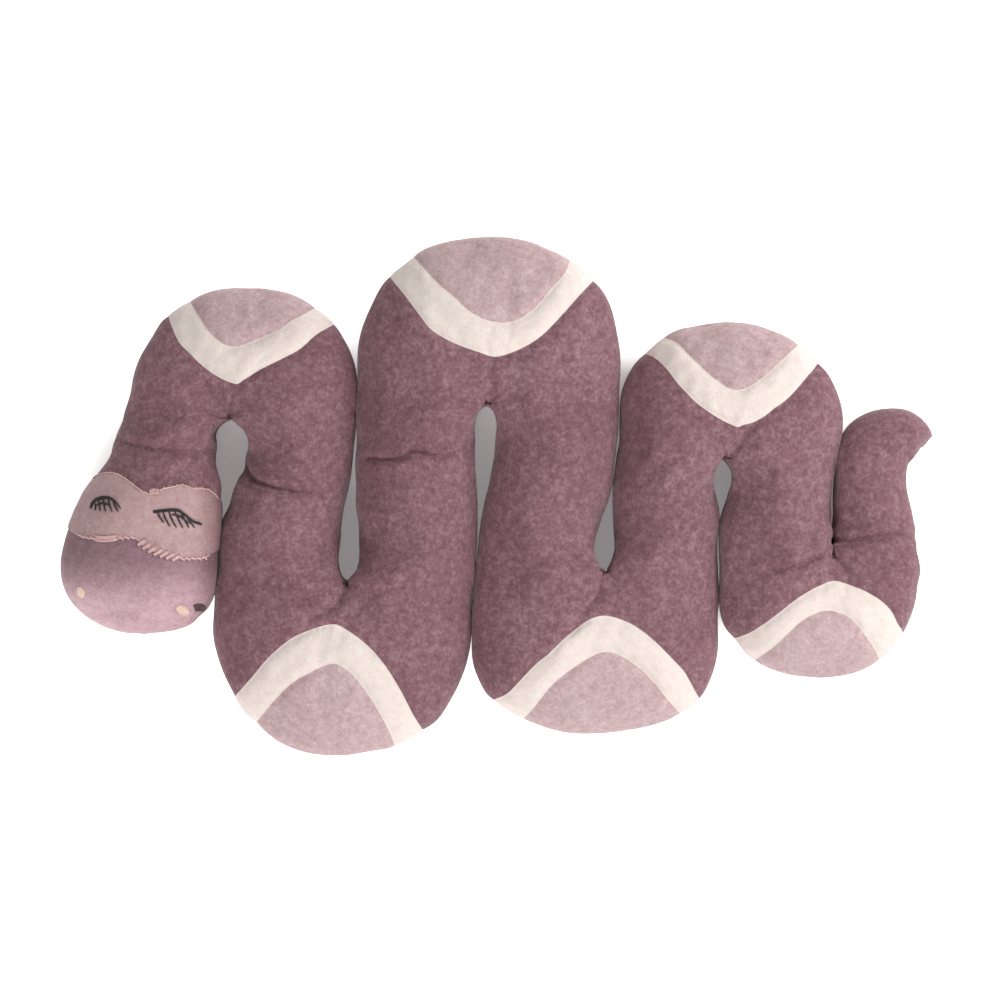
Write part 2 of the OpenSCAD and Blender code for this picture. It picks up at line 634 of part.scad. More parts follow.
neck_panel();
neck_stuffing();
head_back_panel();
muzzle_panel();
chin_panel();
head_stuffing();
eye_mask();
left_eye();
right_eye();
left_nostril();
right_nostril();
mouth_stitch();
leg_1_panel();
leg_1_stuffing();
bend_band(1);  // bend_1_band
bend_inset(1);  // bend_1_inset
bend_filling(1);  // bend_1_stuffing
leg_upper(2);  // leg_2_upper_panel
leg_lower(2);  // leg_2_lower_panel
leg_filling(2);  // leg_2_stuffing
bend_band(2);  // bend_2_band
bend_inset(2);  // bend_2_inset
bend_filling(2);  // bend_2_stuffing
leg_upper(3);  // leg_3_upper_panel
leg_lower(3);  // leg_3_lower_panel
leg_filling(3);  // leg_3_stuffing
bend_band(3);  // bend_3_band
bend_inset(3);  // bend_3_inset
bend_filling(3);  // bend_3_stuffing
leg_upper(4);  // leg_4_upper_panel
leg_lower(4);  // leg_4_lower_panel
leg_filling(4);  // leg_4_stuffing
bend_band(4);  // bend_4_band
bend_inset(4);  // bend_4_inset
bend_filling(4);  // bend_4_stuffing
leg_upper(5);  // leg_5_upper_panel
leg_lower(5);  // leg_5_lower_panel
leg_filling(5);  // leg_5_stuffing
bend_band(5);  // bend_5_band
bend_inset(5);  // bend_5_inset
bend_filling(5);  // bend_5_stuffing
leg_upper(6);  // leg_6_upper_panel
leg_lower(6);  // leg_6_lower_panel
leg_filling(6);  // leg_6_stuffing
bend_band(6);  // bend_6_band
bend_inset(6);  // bend_6_inset
bend_filling(6);  // bend_6_stuffing
leg_7_panel();
leg_7_stuffing();
tail_panel();
tail_stuffing();
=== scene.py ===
"""A long stuffed snake that lies folded into six hairpin bends: its looks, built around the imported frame.

Sizes are in millimetres in the frame's axes, and become metres when a mesh is made.
"""

import logging
import math
from dataclasses import dataclass, field
from enum import Enum
from typing import Callable, Optional, Sequence

import bpy
import numpy as np
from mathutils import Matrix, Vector
from mathutils.bvhtree import BVHTree


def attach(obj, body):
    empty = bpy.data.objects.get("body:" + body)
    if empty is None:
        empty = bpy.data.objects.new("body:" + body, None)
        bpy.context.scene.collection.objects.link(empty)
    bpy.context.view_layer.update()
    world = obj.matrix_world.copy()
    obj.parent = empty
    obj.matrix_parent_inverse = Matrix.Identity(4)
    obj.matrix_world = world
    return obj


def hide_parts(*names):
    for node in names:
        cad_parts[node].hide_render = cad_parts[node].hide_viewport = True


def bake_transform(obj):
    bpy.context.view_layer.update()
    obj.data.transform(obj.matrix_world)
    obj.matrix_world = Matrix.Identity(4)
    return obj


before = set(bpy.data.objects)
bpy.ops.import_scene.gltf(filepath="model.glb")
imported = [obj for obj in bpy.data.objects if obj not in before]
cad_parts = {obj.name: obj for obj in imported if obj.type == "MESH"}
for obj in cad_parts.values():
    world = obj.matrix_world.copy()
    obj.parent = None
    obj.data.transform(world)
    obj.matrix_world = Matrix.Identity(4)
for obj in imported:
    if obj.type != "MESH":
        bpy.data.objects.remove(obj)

LOG = logging.getLogger("snake")
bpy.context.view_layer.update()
MM = 0.001
TINY = 1e-9
Array = np.ndarray
Point = tuple[float, float]
Piece = bpy.types.Object
Tree = bpy.types.NodeTree
Socket = bpy.types.NodeSocket


# ---------------------------------------------------------------- sizes and places


@dataclass(frozen=True)
class Layout:
    """Sizes of the folded snake. They repeat the driving sizes of the part's source."""

    leg_w: tuple[float, ...] = (69, 86, 94, 88, 79, 76, 65)
    leg_l: tuple[float, ...] = (46, 166, 180, 168, 122, 102, 28)
    bend_r: tuple[float, ...] = (70, 91, 91, 86, 78, 69)
    square: tuple[float, ...] = (2.1, 2.1, 2.4, 2.7, 2.2, 2.2)
    v_left: tuple[float, ...] = (46, 34, 42, 42, 44, 35)
    v_right: tuple[float, ...] = (34, 51, 41, 40, 38, 30)
    slots: tuple[float, ...] = (23, 13, 15.5, 12, 13, 1.6)
    slot_l: tuple[float, ...] = (58, 84, 106, 64, 47, 26)
    contact: tuple[float, ...] = (22, 31, 26, 27, 18, 16)
    lean: tuple[float, ...] = (-1, 4, -2, 2, -4, 4)
    body_h: float = 70
    row_shift: float = 72
    dome_gap: float = 1.2
    touch: float = 0.3
    slot_ramp: float = 12
    press: float = 0.24
    neck_w: float = 75
    neck_lean: float = 15
    neck_l: float = 14
    head_w: float = 121
    head_l: float = 126
    head_h: float = 74
    head_lean: float = 13
    cheek: float = 3.5
    widest: float = 0.6
    head_square: float = 2.2
    tail_w: float = 49
    tail_l: float = 52
    curl_in: float = 3
    curl_angle: float = 120
    tip_share: float = 0.44
    flat: float = 0.5
    thin: float = 0.8

    def rough(self) -> dict[str, float]:
        """Places along x and y before they are centred.

        Returns:
            Each place by name.
        """
        w, g = self.leg_w, self.dome_gap
        x = [0.0, self.row_shift, w[1] + w[2] + g]
        x.append(x[1] + w[2] + w[3] + g)
        x.append(x[2] + w[3] + w[4] + g)
        x.append(x[3] + w[4] + w[5] + g)
        y = [0.0]
        for i, length in enumerate(self.leg_l[1:6]):
            y.append(y[-1] + length * (-1 if i % 2 == 0 else 1))
        neck = -w[0] / 2 - self.neck_lean
        head = neck - self.head_lean
        tail = x[4] + w[5] + g + self.tail_w / 2
        tip = self.curl_in + self.tip_share * self.tail_w
        low_x = head - self.head_w / 2
        high_x = tail + self.tail_w / 2 + self.curl_in - tip * math.cos(math.radians(self.curl_angle))
        low_y = min(y[1] - self.bend_r[1], y[3] - self.bend_r[3])
        high_y = max(y[0] + self.bend_r[0], y[2] + self.bend_r[2])
        out = {f"x{i}": v for i, v in enumerate(x)} | {f"y{i}": v for i, v in enumerate(y)}
        return out | {"neck": neck, "head": head, "tail": tail, "tip": tip,
                      "mx": (low_x + high_x) / 2, "my": (low_y + high_y) / 2}

    def leg_h(self, k: int) -> float:
        """Height of leg k, counted from 1."""
        return self.body_h * (self.leg_w[k - 1] / max(self.leg_w)) ** self.thin


class Way(Enum):
    """Which way a bend points in the row."""

    BACK = 1
    FRONT = -1


def mix(a: float, b: float, t: float) -> float:
    """A value between a and b."""
    return a + (b - a) * t


def ease(t: float) -> float:
    """A smooth step from 0 to 1."""
    u = min(1.0, max(0.0, t))
    return u * u * (3 - 2 * u)


def soft_min(a: Array, b: float, k: float) -> Array:
    """The smaller of two values, rounded over a span.

    Args:
        a: Values.
        b: The limit.
        k: Span of the rounding.

    Returns:
        The rounded minimum.
    """
    if k < 1e-6:
        return np.minimum(a, b)
    h = np.maximum(k - np.abs(a - b), 0) / k
    return np.minimum(a, b) - h * h * k / 4


# The picture: the size of a pixel, the pixel over the origin, the width and the height in pixels, and the
# eye's height above the level where a pixel has that size. Then the levels of the legs' tops and the face.
PIXEL = 0.7
MIDDLE = (496.5, 496.5)
FRAME = (1000, 1001)
EYE_HEIGHT = 3000.0
PIXEL_PLANE = 35.0
CROWN = 62.0
BROW = 55.0


def at(px: float, py: float, z: float = CROWN) -> Point:
    """Place in plan of what the camera sees at a pixel, on a surface of a given height.

    Args:
        px: Pixel from the left.
        py: Pixel from the top.
        z: Height of the surface.

    Returns:
        x and y.
    """
    near = 1 - (z - PIXEL_PLANE) / EYE_HEIGHT
    return (px - MIDDLE[0]) * PIXEL * near, (MIDDLE[1] - py) * PIXEL * near


def smooth_line(points: Sequence[Point], steps: int = 8) -> Array:
    """A smooth curve through points in plan.

    Args:
        points: Points that it passes.
        steps: Pieces of each span.

    Returns:
        Points along the curve.
    """
    p = np.array([points[0], *points, points[-1]], float)
    p[0] = 2 * p[1] - p[2]
    p[-1] = 2 * p[-2] - p[-3]
    t = np.linspace(0, 1, steps, endpoint=False)[:, None]
    out = []
    for a, b, c, d in zip(p, p[1:], p[2:], p[3:]):
        out.append(0.5 * (2 * b + (c - a) * t + (2 * a - 5 * b + 4 * c - d) * t * t
                          + (3 * b - a - 3 * c + d) * t ** 3))
    return np.vstack([*out, p[-2][None]])


def run_of(line: Array) -> Array:
    """How far each point of a line lies from its first one, along it."""
    return np.concatenate([[0], np.cumsum(np.hypot(*np.diff(line, axis=0).T))])


def line_distance(xy: Array, line: Array) -> tuple[Array, Array]:
    """Distance of each point from an open line, and how far along the line its nearest place is.

    Args:
        xy: Points in plan.
        line: The line's points.

    Returns:
        Distances, and lengths along the line.
    """
    best = np.full(len(xy), np.inf)
    along = np.zeros(len(xy))
    done = 0.0
    for a, b in zip(line, line[1:]):
        d = b - a
        size = float(np.hypot(*d)) or TINY
        t = np.clip(((xy - a) @ d) / (size * size), 0, 1)
        gap = np.hypot(*(xy - a - t[:, None] * d).T)
        near = gap < best
        best[near] = gap[near]
        along[near] = (done + t * size)[near]
        done += size
    return best, along


def inside(xy: Array, ring: Array) -> Array:
    """Whether points lie inside a closed ring in plan.

    Args:
        xy: Points in plan.
        ring: The ring's points.

    Returns:
        True for each point inside.
    """
    out = np.zeros(len(xy), bool)
    x, y = xy.T
    for a, b in zip(ring, np.roll(ring, -1, axis=0)):
        if a[1] == b[1]:
            continue
        cross = ((a[1] > y) != (b[1] > y)) & (x < (b[0] - a[0]) * (y - a[1]) / (b[1] - a[1]) + a[0])
        out ^= cross
    return out


def signed(xy: Array, line: Array, far: Sequence[Point]) -> Array:
    """Distance from a line, above 0 on the side that a ring through far-off points closes in.

    Args:
        xy: Points in plan.
        line: The line's points.
        far: Points that close the ring from the line's end back to its start.

    Returns:
        Signed distances.
    """
    gap, _ = line_distance(xy, line)
    ring = np.vstack([line, np.array(far, float)])
    return np.where(inside(xy, ring), gap, -gap)


# ---------------------------------------------------------------- the skin


@dataclass
class Stations:
    """Sections along the snake, from nose to tail: where each meets its two sides in plan."""

    a: list[Point] = field(default_factory=list)
    b: list[Point] = field(default_factory=list)
    press_a: list[float] = field(default_factory=list)
    press_b: list[float] = field(default_factory=list)
    low: list[float] = field(default_factory=list)
    high: list[float] = field(default_factory=list)
    place: list[str] = field(default_factory=list)

    def add(self, place: str, a: Point, b: Point, high: float, press_a: float = 0.0,
            press_b: float = 0.0, low: float = 0.0) -> None:
        """Adds one section.

        Args:
            place: Name of the stretch that it belongs to.
            a: Its first side in plan.
            b: Its second side.
            high: Its height.
            press_a: How much of it is pressed flat at the first side.
            press_b: The same at the second side.
            low: Its lowest point.
        """
        for store, value in ((self.a, a), (self.b, b), (self.press_a, press_a),
                             (self.press_b, press_b), (self.low, low), (self.high, high),
                             (self.place, place)):
            store.append(value)

    def span(self, *places: str) -> tuple[int, int]:
        """First and last station of some neighbouring stretches."""
        found = [i for i, p in enumerate(self.place) if p in places]
        return found[0], found[-1]


@dataclass(frozen=True)
class Pull:
    """A soft pull on one side of the body, at a pixel of the picture."""

    places: tuple[str, ...]
    pixel: Point
    out: float
    reach: float

    def give(self, st: Stations) -> None:
        """Moves the side that lies nearest to the pixel.

        Args:
            st: The sections.
        """
        spot = np.array(at(*self.pixel, PIXEL_PLANE))
        index = [i for i, name in enumerate(st.place) if name in self.places]
        gaps = {side: [float(np.hypot(*(np.array(getattr(st, side)[i]) - spot))) for i in index]
                for side in ("a", "b")}
        side = min(gaps, key=lambda name: min(gaps[name]))
        other = "b" if side == "a" else "a"
        points = getattr(st, side)
        for i, gap in zip(index, gaps[side]):
            d = np.array(points[i]) - np.array(getattr(st, other)[i])
            move = self.out * math.exp(-((gap / self.reach) ** 2)) / float(np.hypot(*d))
            points[i] = tuple(np.array(points[i]) + d * move)


def leg(k: int) -> tuple[str, ...]:
    """Names of the stretches round leg k."""
    near = {1: ("neck",), 7: ("tail",)}
    return (f"leg_{k}", f"bend_{k - 1}", f"bend_{k}", *near.get(k, ()))


PULLS = tuple(Pull(places, (x, y), out, reach) for places, rows in (
    (("head",), ((61, 557, -3.0, 28), (88, 618, -1.6, 18), (207, 613, -5.4, 10), (217, 575, 0.8, 18))),
    (("neck", "head"), ((217, 474, -4.4, 16),)),
    (leg(1), ((108, 452, -1.5, 16), (130, 394, 3.4, 16), (150, 336, -2.6, 14), (172, 309, -2.6, 14),
              (193, 296, -1.6, 13), (119, 430, -1.2, 12))),
    (leg(2), ((293, 296, 2.8, 20), (330, 320, 1.3, 12), (248, 446, -3.5, 12), (241, 478, -8.4, 14),
              (232, 503, -6.0, 9), (220, 534, 1.4, 14), (215, 590, 0.9, 26), (342, 540, 1.4, 14),
              (345, 510, 0.8, 28), (353, 441, 1.5, 22), (221, 662, -1.6, 12), (235, 688, -3.0, 13),
              (256, 725, -2.4, 14))),
    (leg(3), ((360, 555, -2.6, 14), (360, 525, -4.5, 15), (359, 485, -5.0, 15), (355, 445, -2.4, 16),
              (435, 717, 3.0, 12), (403, 746, 2.0, 14), (369, 299, -2.8, 22), (403, 265, -2.2, 12))),
    (leg(4), ((556, 252, -2.6, 20), (587, 278, -1.8, 12), (618, 368, 1.0, 20), (474, 662, 3.4, 13),
              (487, 691, 3.2, 12), (598, 545, -3.6, 24))),
    (leg(5), ((666, 333, 2.8, 16), (635, 362, 2.8, 14), (621, 388, 2.6, 14), (612, 545, 1.2, 22),
              (713, 590, 5.6, 22), (714, 648, 5.4, 20), (706, 676, 3.4, 15), (718, 645, 1.4, 14),
              (718, 570, 0.3, 20), (692, 697, 4.6, 14), (671, 718, 1.2, 12), (582, 731, 2.2, 30))),
    (leg(6), ((777, 333, -2.2, 18), (811, 357, -2.6, 12), (842, 412, 1.6, 16), (833, 470, -1.2, 28),
              (731, 475, -1.0, 8), (713, 585, -4.6, 24), (735, 641, -2.4, 9))),
    (leg(7), ((836, 460, 5.6, 27), (851, 421, 1.8, 14), (834, 497, 1.7, 16))),
    (("tail",), ((931, 442, 4.4, 4.5),)),
    (leg(7), ((893, 409, -2.0, 12), (914, 413, -1.6, 10), (924, 423, -2.2, 9), (924, 444, 1.4, 8),
              (911, 483, -4.6, 19), (914, 592, 2.8, 20), (898, 636, 1.2, 12))),
) for x, y, out, reach in rows)


@dataclass
class Folded:
    """The snake's middle line and sides, as it lies folded."""

    size: Layout = field(default_factory=Layout)
    step: float = 1.6
    crease: float = 0.15
    bow_reach: float = 26
    press_reach: float = 24
    crease_share: float = 0.45
    bend_thinning: float = 0.85
    neck_high: float = 1.06
    nose_level: float = 0.4
    nose_lift: tuple[float, float] = (0.75, 0.17)
    cheek_at: tuple[float, float] = (0.72, 0.2)
    cheek_gap: float = 1.0
    cheek_round: float = 4
    cheek_press: float = 0.8
    tail_high: float = 0.92
    outer_power: float = 2.4
    inner_power: float = 6
    tip_lift: float = 0.6

    def __post_init__(self) -> None:
        """Places the bends, the neck, the head and the tail."""
        s, r = self.size, self.size.rough()
        self.cx = [0.0] + [r[f"x{i}"] - r["mx"] for i in range(6)]
        self.cy = [0.0] + [r[f"y{i}"] - r["my"] for i in range(6)]
        self.neck_x = r["neck"] - r["mx"]
        self.neck_y = self.cy[1] - s.leg_l[0]
        self.head_x = r["head"] - r["mx"]
        self.tail_x = r["tail"] - r["mx"]
        self.tip = r["tip"]
        self.crease_y = self.cy[6] + s.leg_l[6]
        self.curl_x = self.tail_x + s.tail_w / 2 + s.curl_in
        self.curl_y = self.crease_y + s.tail_l
        w, g = s.leg_w, s.dome_gap / 2
        self.far_x = [0.0, self.cx[2] - w[1] - g]
        self.far_y = [0.0, self.cy[2]]
        for k in range(2, 6):
            self.far_x.append((self.cx[k - 1] + w[k - 1] + self.cx[k + 1] - w[k]) / 2)
            pair = (self.cy[k - 1], self.cy[k + 1])
            self.far_y.append(max(pair) if self.up(k) > 0 else min(pair))
        self.far_x.append(self.cx[5] + w[5] + g)
        self.far_y.append(self.cy[5])

    @staticmethod
    def up(k: int) -> int:
        """Way that bend k points along y."""
        return (Way.BACK if k % 2 else Way.FRONT).value

    def crotch(self, k: int) -> Point:
        """Place where the cloth inside bend k turns back, at the closed end of its slot."""
        y = self.cy[k] - self.up(k) * self.size.contact[k - 1]
        return self.slot_x(k, y), y

    def depth(self, k: int, y: float) -> float:
        """How far a level y lies in slot k from its closed end."""
        return (self.cy[k] - y) * self.up(k) - self.size.contact[k - 1]

    def slot_x(self, k: int, y: float) -> float:
        """Middle of the slot inside bend k.

        Args:
            k: Number of the bend.
            y: Level along y.

        Returns:
            Its place along x.
        """
        t = (self.cy[k] - y) * self.up(k) / abs(self.cy[k] - self.far_y[k])
        bow = self.size.lean[k - 1] * math.exp(-(self.depth(k, y) / self.bow_reach) ** 2)
        return mix(self.cx[k], self.far_x[k], min(1, max(0, t))) + bow

    def slot_gap(self, k: int, y: float) -> float:
        """Width of that slot.

        Args:
            k: Number of the bend.
            y: Level along y.

        Returns:
            The width, which opens from the closed end and narrows again towards the open one.
        """
        s = self.size
        d = max(0.0, self.depth(k, y))
        if d < s.slot_ramp:
            open_ = math.sqrt(1 - (1 - d / s.slot_ramp) ** 2)
        else:
            open_ = 1 - ease((d - s.slot_ramp) / (s.slot_l[k - 1] - s.slot_ramp))
        return max(s.touch, s.slots[k - 1] * open_)

    def pressed(self, k: int, y: float) -> float:
        """Share by which the legs press on each other beside slot k."""
        return 1 - ease(self.depth(k, y) / self.press_reach)

    def sides(self, k: int, y: float) -> tuple[float, float]:
        """Both sides of a leg at one level.

        Args:
            k: Number of the leg.
            y: Level along y.

        Returns:
            Places of its left and its right side along x.
        """
        s = self.size
        w = s.leg_w
        if k == 1:
            t = (self.cy[1] - y) / s.leg_l[0]
            left = mix(self.cx[1] - w[0], self.neck_x - s.neck_w / 2, ease(t))
            right = mix(self.slot_x(1, y) - self.slot_gap(1, y) / 2, self.neck_x + s.neck_w / 2,
                        ease((t - 0.2) / 0.8))
            return left, right
        left = self.slot_x(k - 1, y) + self.slot_gap(k - 1, y) / 2
        if k == 7:
            return left, left + mix(w[6], self.crease_w(), ease((y - self.cy[6]) / s.leg_l[6]))
        return left, self.slot_x(k, y) - self.slot_gap(k, y) / 2

    def crease_w(self) -> float:
        """Width at the tail's crease."""
        return mix(self.size.leg_w[6], self.size.tail_w, self.crease_share)

    def add_leg(self, out: Stations, k: int) -> None:
        """Adds the sections of leg k, from the head's end on.

        Args:
            out: Takes the sections.
            k: Number of the leg.
        """
        s = self.size
        start = self.neck_y if k == 1 else self.crotch(k - 1)[1]
        stop = self.crease_y if k == 7 else self.crotch(k)[1]
        count = max(4, round(abs(stop - start) / self.step))
        for i in range(count if k < 7 else count + 1):
            y = mix(start, stop, i / count)
            left, right = self.sides(k, y)
            press_l = s.press * s.leg_w[k - 1] * self.pressed(k - 1, y) if k > 1 else 0.0
            press_r = s.press * s.leg_w[k - 1] * self.pressed(k, y) if k < 7 else 0.0
            high = s.leg_h(k)
            if k == 1:
                high = mix(high, s.leg_h(1) * self.neck_high, ease((self.cy[1] - y) / s.leg_l[0]))
            if k % 2:
                out.add(f"leg_{k}", (left, y), (right, y), high, press_l, press_r)
            else:
                out.add(f"leg_{k}", (right, y), (left, y), high, press_r, press_l)

    def add_bend(self, out: Stations, k: int) -> None:
        """Adds the sections of bend k, which all pass the inside of the fold.

        Args:
            out: Takes the sections.
            k: Number of the bend.
        """
        s = self.size
        turn = np.array(self.crotch(k))
        line = self.outline(k)
        along = run_of(line)
        count = round(along[-1] * self.bend_thinning / self.step)
        for i in range(count):
            u = along[-1] * i / count
            outer = np.array([np.interp(u, along, line[:, 0]), np.interp(u, along, line[:, 1])])
            r = float(np.hypot(*(outer - turn)))
            inner = tuple(turn + (outer - turn) / r * self.crease)
            high = mix(s.leg_h(k), s.leg_h(k + 1), ease(i / count))
            if k % 2:
                out.add(f"bend_{k}", tuple(outer), inner, high, 0, s.press * r)
            else:
                out.add(f"bend_{k}", inner, tuple(outer), high, s.press * r, 0)

    def outline(self, k: int) -> Array:
        """The outside of bend k in plan, from one leg's side round to the next.

        Args:
            k: Number of the bend.

        Returns:
            Points along it.
        """
        s = self.size
        n, depth = s.square[k - 1], s.bend_r[k - 1]
        _, y = self.crotch(k)
        levels = np.linspace(y, self.cy[k], 14)[:-1]
        line = [(self.sides(k, v)[0], v) for v in levels]
        spread = (s.dome_gap - s.touch) / 2
        for t in np.linspace(0, math.pi, 121):
            side = (s.leg_w[k - 1] if t < math.pi / 2 else s.leg_w[k]) + spread
            r = (abs(math.cos(t) / side) ** n + (math.sin(t) / depth) ** n) ** (-1 / n)
            line.append((self.cx[k] - r * math.cos(t), self.cy[k] + self.up(k) * r * math.sin(t)))
        line += [(self.sides(k + 1, v)[1], v) for v in levels[::-1]]
        return np.array(line)

    def add_head(self, out: Stations) -> None:
        """Adds the sections of the head and the neck, from the nose on.

        Args:
            out: Takes the sections.
        """
        s = self.size
        nose_z = self.nose_level * s.head_h
        front = [s.widest + (1 - s.widest) * math.cos(math.pi / 2 * u) for u in np.linspace(0.05, 1, 30)]
        back = list(np.linspace(s.widest, 0, round(s.widest * s.head_l / self.step)))[1:-1]
        for t in front + back:
            part = max(0.0, (t - s.widest) / (1 - s.widest))
            keep = max(1e-3, 1 - part ** s.head_square) ** (1 / s.head_square)
            grow = math.sin(math.pi / 2 * min(1, t / s.widest))
            half = (mix(s.neck_w, s.head_w, grow) if t < s.widest else s.head_w * keep) / 2
            high = mix(s.leg_h(1) * self.neck_high, s.head_h, grow) if t < s.widest else s.head_h * keep
            u = min(1, t / s.widest)
            mid = mix(self.neck_x, self.head_x, (u + ease(u)) / 2)
            cheek = s.cheek * math.exp(-((t - self.cheek_at[0]) / self.cheek_at[1]) ** 2) * keep
            y = self.neck_y - t * s.head_l
            limit = self.slot_x(1, y) + self.slot_gap(1, y) / 2 - self.cheek_gap
            right = float(soft_min(np.array(mid + half + cheek), limit, self.cheek_round))
            low = max(0.0, nose_z - high / 2) * ease((t - self.nose_lift[0]) / self.nose_lift[1])
            press = max(0.0, mid + half + cheek - limit) * self.cheek_press
            out.add("neck" if t < s.neck_l / s.head_l else "head", (mid - half, y), (right, y), high,
                    0, press, low)

    def add_tail(self, out: Stations) -> None:
        """Adds the sections of the tail, from its crease up and round its curl.

        Args:
            out: Takes the sections.
        """
        s = self.size
        left, right = self.sides(7, self.crease_y)
        high, high_end = s.leg_h(7), s.leg_h(7) * self.tail_high
        count = round(s.tail_l / self.step)
        for i in range(1, count + 1):
            t = i / count
            x = mix((left + right) / 2, self.tail_x, ease(t))
            half = mix(self.crease_w(), s.tail_w, ease(t)) / 2
            y = mix(self.crease_y, self.curl_y, t)
            out.add("tail", (x - half, y), (x + half, y), mix(high, high_end, t))
        count = round(math.radians(s.curl_angle) * (s.curl_in + s.tail_w) / self.step)
        for i in range(1, count):
            t = i / count
            outer = mix(s.curl_in + s.tail_w, self.tip, t ** self.outer_power)
            inner = mix(s.curl_in, self.tip, t ** self.inner_power)
            rise = high_end * ((outer - inner) / s.tail_w) ** s.thin
            low = self.tip_lift * (high_end - rise) / 2 * ease(t * 4)
            a = math.radians(t * s.curl_angle)
            out.add("tail", self.curled(outer, a), self.curled(inner, a), rise, 0, 0, low)

    def curled(self, r: float, a: float) -> Point:
        """Place in plan at a radius and an angle round the tail's curl."""
        return self.curl_x - r * math.cos(a), self.curl_y + r * math.sin(a)

    def stations(self) -> Stations:
        """All sections of the snake in order.

        Returns:
            The sections.
        """
        out = Stations()
        self.add_head(out)
        for k in range(1, 8):
            self.add_leg(out, k)
            if k < 7:
                self.add_bend(out, k)
        self.add_tail(out)
        for pull in PULLS:
            pull.give(out)
        return out


def smoothed(values: Array, reach: int) -> Array:
    """Values averaged over their neighbours along the first axis, with both ends kept.

    Args:
        values: One row for each station.
        reach: Neighbours on each side.

    Returns:
        The smoothed rows.
    """
    kernel = np.hanning(2 * reach + 3)[1:-1]
    kernel /= kernel.sum()
    flat = values.reshape(len(values), -1)
    ends = np.vstack([np.repeat(flat[:1], reach, 0), flat, np.repeat(flat[-1:], reach, 0)])
    out = np.column_stack([np.convolve(c, kernel, "valid") for c in ends.T])
    out[:reach] = flat[:reach]
    out[-reach:] = flat[-reach:]
    return out.reshape(values.shape)


# Columns of what a point of the skin carries after its place: its station, its share of the height
# from -1 below to 1 on top, and its normal.
STATION, LEVEL, NORMAL = 3, 4, slice(5, 8)


def level(columns: Array, around: int) -> Array:
    """Share of the height, from -1 to 1, at some of the points round a section."""
    return -np.cos(2 * np.pi * columns / around)


@dataclass
class Skin:
    """The outer surface of the whole snake as rings of points, before it is cut at its seams."""

    folded: Folded = field(default_factory=Folded)
    around: int = 128
    press_round: float = 9.0
    rest_round: float = 1.0
    ease_reach: int = 5
    ease_span: int = 8
    ease_past: int = 12

    def __post_init__(self) -> None:
        """Lays the rings."""
        self.st = self.folded.stations()
        a, b, press_a, press_b, high = (self.eased(v) for v in (
            self.st.a, self.st.b, self.st.press_a, self.st.press_b, self.st.high))
        low = np.array(self.st.low)
        phi = 2 * np.pi * np.arange(self.around) / self.around
        rings = []
        for i in range(len(a)):
            length = float(np.hypot(*(b[i] - a[i])))
            half = (length + press_a[i] + press_b[i]) / 2
            mid = (length + press_b[i] - press_a[i]) / 2
            p = mid + half * np.sin(phi)
            p = soft_min(p, length, min(self.press_round, press_b[i]))
            p = length - soft_min(length - p, length, min(self.press_round, press_a[i]))
            flat = self.folded.size.flat
            thick = (high[i] + flat) / 2
            z = low[i] - flat + thick - thick * np.cos(phi)
            z = low[i] - soft_min(low[i] - z, 0, self.rest_round)
            xy = a[i] + (b[i] - a[i]) / length * p[:, None]
            rings.append(np.column_stack([xy, z]))
        self.points = np.array(rings)

    def eased(self, values: list) -> Array:
        """Smooths a value along the body, and leaves the head's front and the tail's end as they are.

        Args:
            values: One value or point for each station.

        Returns:
            The smoothed values.
        """
        plain = np.array(values, float)
        first = self.st.span("neck")[0] - self.ease_past
        last = self.st.span("leg_7")[1] + self.ease_past
        index = np.arange(len(plain))
        share = np.clip(np.minimum(index - first, last - index) / self.ease_span, 0, 1)
        share = share.reshape(-1, *[1] * (plain.ndim - 1))
        return plain + (smoothed(plain, self.ease_reach) - plain) * share

    def normals(self) -> Array:
        """Outward direction at every point.

        Returns:
            One unit vector for each point of each ring.
        """
        p = self.points
        along = np.gradient(p, axis=0)
        round_ = (np.roll(p, -1, axis=1) - np.roll(p, 1, axis=1)) / 2
        n = np.cross(along, round_)
        n /= np.maximum(np.linalg.norm(n, axis=2, keepdims=True), TINY)
        middle = p.mean(axis=1, keepdims=True)
        return n * np.sign(np.sum(n * (p - middle)))

    def region(self, k: int) -> tuple[int, int]:
        """The cloth round a bend, from the middle of one leg to the middle of the next.

        Args:
            k: Number of the bend.

        Returns:
            Its first and its last station.
        """
        first, last = self.st.span(f"leg_{k}")
        if k > 1:
            first = (first + last) // 2
        nfirst, nlast = self.st.span(f"leg_{k + 1}")
        return first, nlast if k == 6 else (nfirst + nlast) // 2

    def fold(self, k: int) -> int:
        """Station at the middle of bend k."""
        first, last = self.st.span(f"bend_{k}")
        return (first + last) // 2

    def shape(self, relief: "Relief") -> None:
        """Moves the skin along its normals, as the stuffing, the seams and the folds do.

        Args:
            relief: Gives the height of every point.
        """
        height = relief.of(self)
        self.points = self.points + self.normals() * height[..., None]
        self.points[..., 2] = np.maximum(self.points[..., 2], 0)

    def rows(self) -> Array:
        """Every point with what it carries, in the order of STATION, LEVEL and NORMAL.

        Returns:
            One row of eight numbers for each point of each ring.
        """
        n, m = self.points.shape[:2]
        station = np.repeat(np.arange(n, dtype=float)[:, None], m, 1)
        share = np.repeat(level(np.arange(m), m)[None], n, 0)
        return np.concatenate([self.points, station[..., None], share[..., None], self.normals()], 2)


# ---------------------------------------------------------------- seams and folds


@dataclass(frozen=True)
class Chevron:
    """The two seams of a light band, seen from above, as pixels of the picture."""

    outer: tuple[Point, ...]
    inner: tuple[Point, ...]


